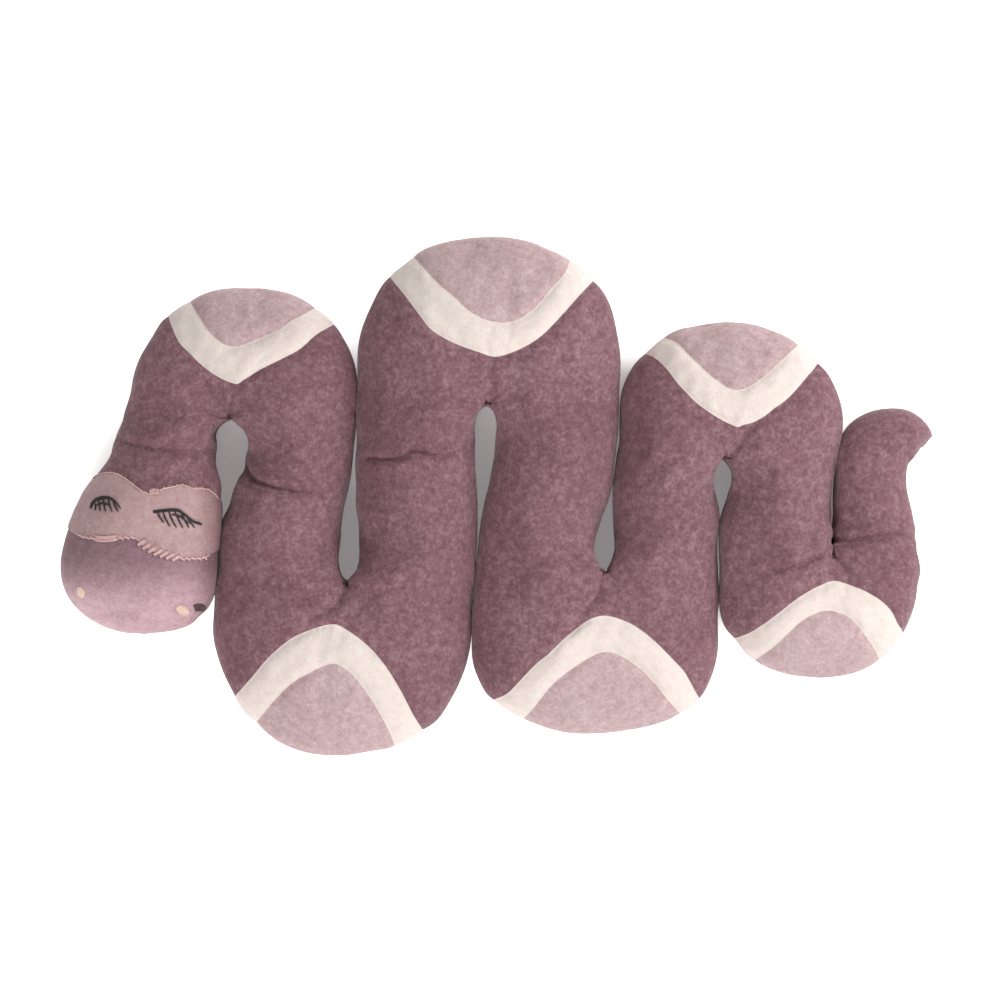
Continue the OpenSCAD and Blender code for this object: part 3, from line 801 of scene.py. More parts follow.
CHEVRONS = {
    1: Chevron(
        ((168, 321), (177.5, 341), (190, 354), (202.5, 366), (220, 378), (236, 384), (242.5, 381),
         (260, 370), (280, 360), (300, 349), (315, 335), (330, 325)),
        ((190, 304), (200, 319), (207.5, 330), (219, 341), (227.5, 345.5), (237.5, 346), (247.5, 343),
         (265, 335.5), (280, 329), (290, 321), (302.5, 314), (310, 309))),
    2: Chevron(
        ((237.5, 693), (252, 677), (270, 656), (293, 637.5), (317, 627.5), (332.5, 624), (343, 627),
         (362, 640), (380, 658), (398, 685), (413, 715), (421, 729)),
        ((258, 720), (275, 700), (293, 682.5), (317, 669), (330, 664), (340, 665), (355, 677),
         (372, 700), (383, 720), (390, 735), (394, 748))),
    3: Chevron(
        ((390, 277), (402.5, 292.5), (420, 316), (430, 329), (445, 339), (460, 346), (480, 353),
         (492.5, 357), (502.5, 356), (520, 349.5), (540, 337.5), (560, 317.5), (577.5, 297.5),
         (592.5, 281)),
        ((415, 257.5), (426, 270), (440, 285), (457.5, 300), (467.5, 310), (482.5, 319), (500, 323),
         (515, 321), (530, 312.5), (540, 302.5), (550, 290), (565, 272.5), (570, 260))),
    4: Chevron(
        ((496, 700), (507.5, 694), (520, 681), (535, 665), (550, 652.5), (562.5, 640), (577.5, 627.5),
         (590, 619), (604, 615.5), (620, 619), (635, 626), (647.5, 635), (660, 646), (672.5, 659),
         (685, 672.5), (695, 690), (701, 700)),
        ((525, 719), (535, 707.5), (550, 687.5), (562.5, 676), (577.5, 665), (592.5, 656), (606, 652),
         (620, 655.5), (635, 665), (647.5, 676), (660, 690), (670, 702.5), (679, 712.5))),
    5: Chevron(
        ((647.5, 353), (656.5, 358), (666.5, 368), (676.5, 381.5), (686.5, 393), (696.5, 403),
         (708, 411.5), (720, 419), (730, 424), (738, 427), (743, 425), (753, 422.5), (765, 416),
         (775, 408), (785, 401), (795, 391.5), (805, 380), (816, 368), (820, 363)),
        ((668, 337), (677, 341.5), (687, 352), (697, 362), (707, 372), (717, 380), (727, 387.5),
         (737, 390), (747, 387.5), (758, 381), (768, 373), (778, 364), (788, 355), (798, 346))),
    6: Chevron(
        ((735, 640), (750, 634), (765, 624), (780, 612.5), (792.5, 602.5), (807.5, 592.5),
         (822.5, 585), (835, 581), (850, 585), (865, 591), (880, 599.5), (892.5, 611), (900, 624),
         (905, 631)),
        ((762.5, 657.5), (775, 647.5), (790, 632.5), (802.5, 621), (817.5, 613), (830, 611),
         (845, 615), (855, 622.5), (865, 634), (875, 647.5), (881, 657.5))),
}


def seam(pixels: Sequence[Point], reach: float = 30.0) -> Array:
    """A band's seam in plan, run on past both sides of the snake.

    Args:
        pixels: Pixels that it passes.
        reach: Length added at each end.

    Returns:
        Points along the seam.
    """
    line = smooth_line([at(x, y) for x, y in pixels], 4)
    ends = []
    for a, b in ((line[3], line[0]), (line[-4], line[-1])):
        d = (b - a) / np.hypot(*(b - a))
        ends.append(b + d * reach)
    return np.vstack([ends[0][None], line, ends[1][None]])


@dataclass(frozen=True)
class Fold:
    """A crease that the picture shows on top of the cloth, as pixels that it passes."""

    pixels: tuple[Point, ...]
    depth: float = 1.2
    width: float = 3.0


FOLDS = (
    Fold(((243, 468), (252, 480), (275, 488), (298, 492), (320, 492)), 4.0, 2.4),
    Fold(((366, 458), (395, 459), (412, 452), (434, 455), (456, 453)), 3.8, 2.2),
    Fold(((735, 470), (752, 477), (768, 486), (782, 491)), 0.9, 3.0),
    Fold(((738, 490), (752, 494), (766, 500)), 0.6, 2.5),
    Fold(((828, 549), (815, 558), (800, 565), (783, 569), (768, 571)), 3.8, 2.4),
    Fold(((775, 578), (757, 577), (744, 580)), 0.9, 2.6),
    Fold(((765, 548), (785, 552), (806, 553)), 0.6, 3.0),
    Fold(((831, 542), (850, 541), (872, 537), (893, 535), (915, 537)), 3.6, 2.4),
    Fold(((832, 552), (842, 562), (849, 578)), 1.4, 2.4),
    Fold(((831, 556), (831, 566), (832, 577)), 0.8, 2.2),
    Fold(((347, 584), (338, 602), (322, 612), (306, 622)), 2.2, 3.2),
    Fold(((351, 586), (358, 598), (364, 608)), 1.3, 2.6),
    Fold(((603, 571), (598, 592), (585, 610), (570, 630)), 2.2, 3.0),
    Fold(((606, 574), (611, 584), (618, 592)), 1.2, 2.6),
    Fold(((205, 386), (219, 402), (228, 418)), 1.4, 3.0),
    Fold(((237, 388), (240, 402), (237, 418)), 1.3, 3.2),
    Fold(((489, 360), (491, 380), (489, 402)), 1.8, 3.4),
    Fold(((727, 460), (740, 443), (754, 426)), 2.2, 3.2),
    Fold(((738, 461), (752, 466), (772, 476)), 1.1, 2.4),
    Fold(((736, 476), (750, 484), (768, 494)), 1.0, 2.4),
    Fold(((117, 440), (150, 449), (185, 452), (210, 450)), 3.0, 2.6),
)


def waves(points: Array, length: float, seed: int, count: int = 24) -> Array:
    """A smooth random height from waves in all directions, about from -1 to 1.

    Args:
        points: Points in space.
        length: About how far its lumps lie apart.
        seed: Chooses the pattern.
        count: Number of waves.

    Returns:
        One height for each point.
    """
    rng = np.random.default_rng(seed)
    out = np.zeros(points.shape[:-1])
    for _ in range(count):
        d = rng.normal(size=3)
        d *= 2 * math.pi / (np.linalg.norm(d) * length * rng.uniform(0.7, 1.5))
        out += np.sin(points @ d + rng.uniform(0, 2 * math.pi))
    return out / math.sqrt(count)


@dataclass
class Relief:
    """Heights of the cloth above the plain skin."""

    seam_depth: float = 1.2
    seam_width: float = 2.2
    swell: float = 0.35
    swell_at: tuple[float, float] = (8, 5)
    pucker: float = 0.2
    pucker_size: float = 12
    pucker_at: tuple[float, float] = (4.5, 3.5)
    pucker_seed: int = 20
    pucker_climb: float = 0.6
    lumps: tuple[tuple[float, float, int], ...] = ((0.7, 46, 3), (0.22, 15, 4))
    lump_least: float = 0.3
    lump_level: float = -0.4
    flank: float = 0.35
    seam_flank: float = 0.15
    closed_reach: float = 5
    rays: float = 0.5
    ray_counts: tuple[int, ...] = (5, 7, 9, 12, 16)
    ray_limits: tuple[float, float] = (-0.2, 2)
    ray_at: tuple[float, float] = (9, 11)
    ray_seed: int = 40
    fold_start: float = -0.15
    fold_reach: float = 90
    fold_overrun: float = 0.12
    fold_lip: tuple[float, float, float] = (0.35, 2.6, 1.5)

    def of(self, skin: Skin) -> Array:
        """Height of every point of the skin.

        Args:
            skin: The skin.

        Returns:
            One height for each point.
        """
        p = skin.points
        n, m = p.shape[:2]
        share = np.repeat(level(np.arange(m), m)[None], n, 0)
        up = np.clip(skin.normals()[..., 2], 0, 1)
        out = sum(high * waves(p, size, seed) for high, size, seed in self.lumps)
        low = np.clip(self.lump_least + (share - self.lump_level), 0, 1)
        out *= low * (self.flank + (1 - self.flank) * up)
        for k in CHEVRONS:
            first, last = skin.region(k)
            part = p[first:last + 1].reshape(-1, 3)
            height = np.zeros(len(part))
            for line in (seam(CHEVRONS[k].outer), seam(CHEVRONS[k].inner)):
                height += self.beside(part, line, k)
            height *= self.seam_flank + (1 - self.seam_flank) * up[first:last + 1].reshape(-1)
            height += self.gather(part, skin.folded, k)
            gap = np.hypot(*(part[:, :2] - np.array(skin.folded.crotch(k))).T)
            closed = (1 - np.exp(-((gap / self.closed_reach) ** 2))).reshape(-1, m)
            out[first:last + 1] = (out[first:last + 1] + height.reshape(-1, m)) * closed
        self.crease(p.reshape(-1, 3), share.reshape(-1), out.reshape(-1))
        return out

    def crease(self, points: Array, share: Array, heights: Array) -> None:
        """Lowers the cloth along the creases that show on top, with a low lip beside each.

        Args:
            points: Points in space.
            share: Share of the height of each point.
            heights: Heights of the points, which it changes.
        """
        top = np.clip((share - self.fold_start) / (-2 * self.fold_start), 0, 1)
        lip, off, wide = self.fold_lip
        for f in FOLDS:
            line = smooth_line([at(x, y) for x, y in f.pixels], 4)
            near = np.flatnonzero((np.abs(points[:, :2] - line.mean(0)).max(1) < self.fold_reach))
            gap, along = line_distance(points[near, :2], line)
            size = float(np.sum(np.hypot(*np.diff(line, axis=0).T)))
            done = (along + self.fold_overrun * size) / ((1 + 2 * self.fold_overrun) * size)
            taper = np.sin(math.pi * np.clip(done, 0, 1)) ** 0.5
            dip = np.exp(-(gap / f.width) ** 2)
            dip = dip - lip * np.exp(-((gap - off * f.width) / (wide * f.width)) ** 2)
            heights[near] -= f.depth * dip * taper * top[near]

    def beside(self, points: Array, line: Array, k: int) -> Array:
        """Height beside one seam: a dip along it, a swell on both sides and small puckers.

        Args:
            points: Points in space.
            line: The seam in plan.
            k: Number of the bend.

        Returns:
            One height for each point.
        """
        gap, along = line_distance(points[:, :2], line)
        dip = -self.seam_depth * np.exp(-(gap / self.seam_width) ** 2)
        swell = self.swell * np.exp(-((gap - self.swell_at[0]) / self.swell_at[1]) ** 2)
        u = np.column_stack([along, points[:, 2] * self.pucker_climb, np.zeros(len(along))])
        ripple = waves(u, self.pucker_size, self.pucker_seed + k)
        ripple *= np.exp(-((gap - self.pucker_at[0]) / self.pucker_at[1]) ** 2)
        return dip + swell + self.pucker * ripple

    def gather(self, points: Array, folded: Folded, k: int) -> Array:
        """Height round the inside of a fold, where the cloth is drawn into small rays.

        Args:
            points: Points in space.
            folded: The snake's lines.
            k: Number of the bend.

        Returns:
            One height for each point.
        """
        d = points[:, :2] - np.array(folded.crotch(k))
        r = np.hypot(*d.T)
        turn = np.arctan2(d[:, 1], d[:, 0])
        rays = np.zeros(len(r))
        rng = np.random.default_rng(self.ray_seed + k)
        for count in self.ray_counts:
            rays += np.sin(count * turn + rng.uniform(0, 6.28)) / math.sqrt(count)
        near = np.exp(-((r - self.ray_at[0]) / self.ray_at[1]) ** 2)
        return -self.rays * np.clip(rays, *self.ray_limits) * near


# ---------------------------------------------------------------- stuffing


@dataclass
class Stuffing:
    """Blows the skin up as cloth, held at its seams and where it rests, as a full stuffing does."""

    every: int = 4
    around: int = 2
    pressure: float = 4.0
    extra: float = 0.008
    frames: int = 20
    most: float = 1.8
    flank_most: float = 0.25
    beside_most: float = 1.2
    reach: int = 3
    rest_level: float = -0.35
    rest_span: float = 0.2
    fold_reach: float = 16
    seam_reach: float = 2.8
    held_rows: int = 3
    least_hold: float = 0.02
    quality: int = 4
    mass: float = 0.25
    tension: float = 20
    compression: float = 12
    bending: float = 2.0

    def swell(self, skin: Skin) -> None:
        """Simulates the cloth on a coarser net and carries its moves over to the skin.

        Args:
            skin: The skin.
        """
        n, m = skin.points.shape[:2]
        rows = np.unique(np.append(np.arange(0, n, self.every), n - 1))
        cols = np.arange(0, m, self.around)
        net = skin.points[rows][:, cols]
        moved = self.simulate(net, self.held(skin, net, rows, cols))
        normal = skin.normals()[rows][:, cols]
        most = self.flank_most + (self.most - self.flank_most) * np.abs(normal[..., 2])
        along = np.clip(np.sum((moved - net) * normal, axis=2), -most, most)
        beside = (moved - net) - np.sum((moved - net) * normal, axis=2)[..., None] * normal
        size = np.maximum(np.linalg.norm(beside, axis=2, keepdims=True), TINY)
        beside *= np.minimum(size, self.beside_most) / size
        move = normal * along[..., None] + beside
        move = np.stack([np.interp(np.arange(n), rows, move[:, j].reshape(len(rows), 3)[:, c])
                         for j in range(len(cols)) for c in range(3)], 1).reshape(n, len(cols), 3)
        fine = np.zeros((n, m, 3))
        for i in range(self.around):
            t = i / self.around
            fine[:, i::self.around] = move * (1 - t) + np.roll(move, -1, axis=1) * t
        skin.points += smoothed(fine, self.reach)

    def held(self, skin: Skin, net: Array, rows: Array, cols: Array) -> Array:
        """How firmly each point of the net is held, from 0 to 1.

        Args:
            skin: The skin.
            net: Points of the net.
            rows: Their stations.
            cols: Their places round the section.

        Returns:
            One weight for each point.
        """
        share = np.repeat(level(cols, skin.points.shape[1])[None], len(rows), 0)
        hold = np.clip((self.rest_level - share) / self.rest_span, 0, 1)
        for k, chevron in CHEVRONS.items():
            first, last = skin.region(k)
            here = np.flatnonzero((rows >= first) & (rows <= last))
            xy = net[here].reshape(-1, 3)[:, :2]
            gap = np.hypot(*(xy - np.array(skin.folded.crotch(k))).T)
            near = np.exp(-((gap / self.fold_reach) ** 2))
            for pixels in (chevron.outer, chevron.inner):
                near = np.maximum(near, line_distance(xy, seam(pixels))[0] < self.seam_reach)
            hold[here] = np.maximum(hold[here], near.reshape(len(here), -1))
        ends = np.minimum(np.arange(len(rows)), np.arange(len(rows))[::-1])
        hold[ends < self.held_rows] = 1
        for place in ("neck", "leg_7"):
            ring = np.abs(rows - skin.st.span(place)[1]) <= self.every / 2
            hold[ring] = 1
        return hold

    def simulate(self, net: Array, hold: Array) -> Array:
        """Runs the cloth simulation on a net of points.

        Args:
            net: Points, one row for each station.
            hold: How firmly each is held.

        Returns:
            The points after it.
        """
        n, m = net.shape[:2]
        faces = [(i * m + j, (i + 1) * m + j, (i + 1) * m + (j + 1) % m, i * m + (j + 1) % m)
                 for i in range(n - 1) for j in range(m)]
        faces += [tuple(range(m)), tuple(range(n * m - 1, (n - 1) * m - 1, -1))]
        mesh = bpy.data.meshes.new("net")
        mesh.from_pydata((net.reshape(-1, 3) * MM).tolist(), [], faces)
        obj = bpy.data.objects.new("net", mesh)
        bpy.context.collection.objects.link(obj)
        only(obj)
        bpy.ops.object.mode_set(mode="EDIT")
        bpy.ops.mesh.select_all(action="SELECT")
        bpy.ops.mesh.normals_make_consistent(inside=False)
        bpy.ops.object.mode_set(mode="OBJECT")
        pins = obj.vertex_groups.new(name="held")
        for i, w in enumerate(hold.reshape(-1)):
            if w > self.least_hold:
                pins.add([i], float(w), "REPLACE")
        cloth = obj.modifiers.new("cloth", "CLOTH")
        cloth.settings.vertex_group_mass = "held"
        cloth.settings.quality = self.quality
        cloth.settings.mass = self.mass
        cloth.settings.tension_stiffness = self.tension
        cloth.settings.compression_stiffness = self.compression
        cloth.settings.bending_stiffness = self.bending
        cloth.settings.shrink_min = -self.extra
        cloth.settings.use_pressure = True
        cloth.settings.uniform_pressure_force = self.pressure
        cloth.settings.effector_weights.gravity = 0
        cloth.collision_settings.use_collision = False
        cloth.point_cache.frame_start = 1
        cloth.point_cache.frame_end = self.frames
        scene = bpy.context.scene
        for frame_no in range(1, self.frames + 1):
            scene.frame_set(frame_no)
        done = obj.evaluated_get(bpy.context.evaluated_depsgraph_get())
        out = np.zeros(len(mesh.vertices) * 3)
        done.data.vertices.foreach_get("co", out)
        bpy.data.objects.remove(obj)
        scene.frame_set(1)
        return out.reshape(n, m, 3) / MM


# ---------------------------------------------------------------- cutting


@dataclass
class Cloth:
    """Faces of one piece of cloth, on points that it shares with the pieces beside it."""

    points: list[Array]
    faces: list[tuple[int, ...]]
    snap: float = 0.1

    def split(self, value: Callable[[Array], Array]) -> tuple["Cloth", "Cloth"]:
        """Cuts the cloth where a value on its points changes sign.

        Args:
            value: Gives the value of many points at once.

        Returns:
            The cloth above 0, and the cloth below 0.
        """
        d = [0.0 if abs(v) < self.snap else float(v) for v in value(np.array(self.points))]
        made: dict[tuple[int, int], int] = {}
        above: list[tuple[int, ...]] = []
        below: list[tuple[int, ...]] = []
        for face in self.faces:
            signs = [d[i] for i in face]
            if min(signs) >= 0:
                above.append(face)
                continue
            if max(signs) <= 0:
                below.append(face)
                continue
            up: list[int] = []
            down: list[int] = []
            for i, j in zip(face, face[1:] + face[:1]):
                if d[i] >= 0:
                    up.append(i)
                if d[i] <= 0:
                    down.append(i)
                if d[i] * d[j] < 0:
                    key = (min(i, j), max(i, j))
                    if key not in made:
                        t = d[key[0]] / (d[key[0]] - d[key[1]])
                        p, q = self.points[key[0]], self.points[key[1]]
                        self.points.append(p + (q - p) * t)
                        d.append(0.0)
                        made[key] = len(self.points) - 1
                    up.append(made[key])
                    down.append(made[key])
            if len(up) > 2:
                above.append(tuple(up))
            if len(down) > 2:
                below.append(tuple(down))
        return Cloth(self.points, above), Cloth(self.points, below)

    def array(self) -> Array:
        """The points that the cloth uses, as rows."""
        used = sorted({i for f in self.faces for i in f})
        return np.array([self.points[i] for i in used])


def cloth_of(rows: Array, first: int, last: int) -> Cloth:
    """The cloth between two stations of the skin.

    Args:
        rows: The skin's points with what they carry.
        first: First station.
        last: Last station.

    Returns:
        The cloth, with its faces outwards.
    """
    m = rows.shape[1]
    part = rows[first:last + 1]
    faces = []
    for i in range(last - first):
        for j in range(m):
            k = (j + 1) % m
            faces.append((i * m + j, i * m + k, (i + 1) * m + k, (i + 1) * m + j))
    p = part.reshape(-1, rows.shape[2])
    f = np.array(faces)
    normal = np.cross(p[f[:, 1], :3] - p[f[:, 0], :3], p[f[:, 3], :3] - p[f[:, 0], :3])
    if np.sum(normal * p[f[:, 0], NORMAL]) < 0:
        faces = [q[::-1] for q in faces]
    return Cloth(list(p), faces)


def capped(cloth: Cloth, ring: Sequence[int], tip: Array) -> Cloth:
    """Closes one end of a cloth with a fan.

    Args:
        cloth: The cloth.
        ring: Points round the open end.
        tip: The point that closes it, with what it carries.

    Returns:
        The closed cloth.
    """
    cloth.points.append(tip)
    top = len(cloth.points) - 1
    ring = list(ring)
    used = {(a, b) for f in cloth.faces for a, b in zip(f, f[1:] + f[:1])}
    for a, b in zip(ring, ring[1:] + ring[:1]):
        cloth.faces.append((b, a, top) if (a, b) in used else (a, b, top))
    return cloth


# ---------------------------------------------------------------- meshes


def sewn(name: str, cloth: Cloth, thick: float = 1.3, lift: Optional[Array] = None) -> Piece:
    """Makes a piece of cloth with a thickness, closed round its cut edges.

    Args:
        name: Name of the piece.
        cloth: Its faces, on the skin.
        thick: Thickness of the cloth.
        lift: How far each used point stands off the skin.

    Returns:
        The new object.
    """
    used = sorted({i for f in cloth.faces for i in f})
    index = {old: new for new, old in enumerate(used)}
    rows = np.array([cloth.points[i] for i in used])
    normal = rows[:, NORMAL] / np.maximum(np.linalg.norm(rows[:, NORMAL], axis=1, keepdims=True), TINY)
    outer = rows[:, :3] + (0 if lift is None else normal * lift[:, None])
    inner = outer - normal * thick
    n = len(used)
    faces = [tuple(index[i] for i in f) for f in cloth.faces]
    edges = {(a, b) for f in faces for a, b in zip(f, f[1:] + f[:1])}
    rim = [(b, a, a + n, b + n) for a, b in edges if (b, a) not in edges]
    back = [tuple(i + n for i in reversed(f)) for f in faces]
    mesh = bpy.data.meshes.new(name)
    mesh.from_pydata((np.vstack([outer, inner]) * MM).tolist(), [], faces + back + rim)
    mesh.update()
    loops = np.zeros(len(mesh.loops), np.int64)
    mesh.loops.foreach_get("vertex_index", loops)
    both = np.vstack([normal, -normal])
    shade = both[loops]
    starts = len(mesh.loops) - 4 * len(rim)
    flat = np.zeros(3 * len(mesh.polygons))
    mesh.polygons.foreach_get("normal", flat)
    shade[starts:] = np.repeat(flat.reshape(-1, 3)[len(faces) * 2:], 4, axis=0)
    mesh.polygons.foreach_set("use_smooth", np.ones(len(mesh.polygons), bool))
    mesh.normals_split_custom_set(shade.tolist())
    obj = bpy.data.objects.new(name, mesh)
    bpy.context.collection.objects.link(obj)
    return obj


def only(obj: Piece) -> None:
    """Selects one object alone and makes it active.

    Args:
        obj: The object.
    """
    for other in bpy.context.selected_objects:
        other.select_set(False)
    obj.select_set(True)
    bpy.context.view_layer.objects.active = obj


def thread(name: str, paths: Sequence[Array], radius: float, taper: float = 1.0, sides: int = 3) -> Piece:
    """Lays threads along paths and makes them one mesh.

    Args:
        name: Name of the piece.
        paths: Points of each thread in space.
        radius: Half the thread's thickness.
        taper: Share of the thickness that each thread keeps at its ends.
        sides: Roundness of the thread.

    Returns:
        The new object.
    """
    bpy.ops.object.select_all(action="DESELECT")
    bpy.ops.curve.primitive_bezier_curve_add(location=(0, 0, 0))
    obj = bpy.context.object
    obj.name = name
    curve = obj.data
    curve.splines.clear()
    curve.dimensions = "3D"
    curve.bevel_depth = radius * MM
    curve.bevel_resolution = sides
    curve.use_fill_caps = True
    for path in paths:
        spline = curve.splines.new("POLY")
        spline.points.add(len(path) - 1)
        for i, (point, p) in enumerate(zip(spline.points, path)):
            point.co = (*(p * MM), 1)
            u = 2 * i / (len(path) - 1) - 1
            point.radius = taper + (1 - taper) * math.sqrt(max(0.0, 1 - u * u))
    only(obj)
    bpy.ops.object.convert(target="MESH")
    bpy.ops.object.shade_smooth()
    return bpy.context.object


# ---------------------------------------------------------------- finishes


def place(tree: Tree, kind: str, inputs: Optional[dict] = None, **settings: object) -> bpy.types.Node:
    """Adds a node, sets its sockets or links them.

    Args:
        tree: The tree that takes the node.
        kind: The node's type.
        inputs: A value or another node's output for each named or numbered socket.
        settings: The node's own settings.

    Returns:
        The node.
    """
    made = tree.nodes.new(kind)
    for key, value in settings.items():
        setattr(made, key, value)
    for key, value in (inputs or {}).items():
        socket = made.inputs[key]
        if isinstance(value, Socket):
            tree.links.new(value, socket)
        else:
            socket.default_value = value
    return made


def group(name: str, inputs: dict[str, tuple[str, object]], outputs: dict[str, str]) -> tuple:
    """Starts a node group with named sockets.

    Args:
        name: Name of the group.
        inputs: Kind and first value of each input.
        outputs: Kind of each output.

    Returns:
        The group's tree, its inputs and its output node.
    """
    tree = bpy.data.node_groups.new(name, "ShaderNodeTree")
    for label, (kind, value) in inputs.items():
        socket = tree.interface.new_socket(label, in_out="INPUT", socket_type=kind)
        socket.default_value = value
    for label, kind in outputs.items():
        tree.interface.new_socket(label, in_out="OUTPUT", socket_type=kind)
    return tree, place(tree, "NodeGroupInput").outputs, place(tree, "NodeGroupOutput")


COLOUR, NUMBER = "NodeSocketColor", "NodeSocketFloat"

# The yarn: its clouds of tone and its slow change to the metre, and how fast its tones part. Then the pile:
# waves to the metre that bend its rows of loops and how far, and its loops' and fibres' share of the height.
CLOUD_SCALE = 185.0
SLOW_SCALE = 14.0
TONE_SPREAD = 1.4
BEND_SCALE = 300.0
BEND_REACH = 0.0016
LOOP_SHARE = 0.55
FIBRE_SHARE = 0.6


def mixed(tree: Tree, share: object, a: object, b: object, blend: str = "MIX") -> Socket:
    """Mixes two colours.

    Args:
        tree: The tree that takes the node.
        share: Share of the second colour, or the socket that gives it.
        a: The first colour, or its socket.
        b: The second one.
        blend: How they mix.

    Returns:
        The result's socket.
    """
    made = place(tree, "ShaderNodeMix", data_type="RGBA", blend_type=blend)
    for socket, value in ((made.inputs[0], share), (made.inputs[6], a), (made.inputs[7], b)):
        if isinstance(value, Socket):
            tree.links.new(value, socket)
        else:
            socket.default_value = value
    return made.outputs[2]


def sums(tree: Tree, how: str, *values: object) -> Socket:
    """Joins numbers by one sum and gives the result's socket."""
    return place(tree, "ShaderNodeMath", dict(enumerate(values)), operation=how).outputs[0]


def ranged(tree: Tree, value: object, low: float, high: float, to_low: float = 0.0,
           to_high: float = 1.0, how: str = "LINEAR") -> Socket:
    """Stretches a number from one range to another and gives the result's socket."""
    return place(tree, "ShaderNodeMapRange", {0: value, 1: low, 2: high, 3: to_low, 4: to_high},
                 interpolation_type=how).outputs[0]


def noisy(tree: Tree, where: object, scale: object, detail: float, rough: float = 0.5) -> Socket:
    """Adds a noise and gives the socket of its height."""
    return place(tree, "ShaderNodeTexNoise", {"Vector": where, "Scale": scale, "Detail": detail,
                                              "Roughness": rough}).outputs[0]


def around_origin(tree: Tree) -> Socket:
    """The place of each point in its object, as a socket."""
    return place(tree, "ShaderNodeTexCoord").outputs["Object"]


def plain_material(name: str) -> tuple[bpy.types.Material, Tree, bpy.types.Node]:
    """Starts a material.

    Args:
        name: Its name.

    Returns:
        The material, its tree and its shader.
    """
    made = bpy.data.materials.new(name)
    made.use_nodes = True
    return made, made.node_tree, made.node_tree.nodes["Principled BSDF"]


def melange_group() -> Tree:
    """Yarn of several tones knitted together: speckles over a slow change of tone.

    Returns:
        The group.
    """
    tree, given, out = group(
        "Melange yarn",
        {"Dark": (COLOUR, (0, 0, 0, 1)), "Mid": (COLOUR, (0.5, 0.5, 0.5, 1)),
         "Light": (COLOUR, (1, 1, 1, 1)), "Speckle": (NUMBER, 450.0), "Contrast": (NUMBER, 1.0)},
        {"Color": COLOUR, "Tone": NUMBER})
    where = around_origin(tree)
    spots = ranged(tree, noisy(tree, where, given["Speckle"], 3.0, 0.62), 0.36, 0.64, -0.5, 0.5)
    spots = sums(tree, "MULTIPLY", spots, given["Contrast"])
    drift = ranged(tree, noisy(tree, where, CLOUD_SCALE, 2.0), 0.3, 0.7, -0.22, 0.22)
    # A slow random change of tone over the yarn.
    fade = ranged(tree, noisy(tree, where, SLOW_SCALE, 1.0), 0.3, 0.7, -0.1, 0.1)
    tone = sums(tree, "ADD", sums(tree, "ADD", spots, drift), fade)
    dark, light = (place(tree, "ShaderNodeMath", {0: tone, 1: way * TONE_SPREAD}, operation="MULTIPLY",
                         use_clamp=True) for way in (-1, 1))
    colour = mixed(tree, dark.outputs[0], given["Mid"], given["Dark"])
    colour = mixed(tree, light.outputs[0], colour, given["Light"])
    tree.links.new(colour, out.inputs["Color"])
    tree.links.new(tone, out.inputs["Tone"])
    return tree


def pile_group() -> Tree:
    """Height of a brushed cloth: loose fibres over small knitted loops.

    Returns:
        The group.
    """
    tree, given, out = group("Brushed pile", {"Loops": (NUMBER, 600.0), "Fibres": (NUMBER, 1400.0)},
                             {"Height": NUMBER})
    where = around_origin(tree)
    bend = place(tree, "ShaderNodeTexNoise", {"Vector": where, "Scale": BEND_SCALE, "Detail": 1.0})
    moved = place(tree, "ShaderNodeVectorMath", {0: bend.outputs["Color"], "Scale": BEND_REACH},
                  operation="SCALE")
    moved = place(tree, "ShaderNodeVectorMath", {0: where, 1: moved.outputs[0]}, operation="ADD")
    loops = place(tree, "ShaderNodeTexVoronoi", {"Vector": moved.outputs[0], "Scale": given["Loops"]})
    fibre = noisy(tree, where, given["Fibres"], 3.0, 0.7)
    hollow = ranged(tree, loops.outputs["Distance"], 0.0, 0.8, 1.0, 0.0)
    height = sums(tree, "ADD", sums(tree, "MULTIPLY", hollow, LOOP_SHARE),
                  sums(tree, "MULTIPLY", fibre, FIBRE_SHARE))
    tree.links.new(height, out.inputs["Height"])
    return tree


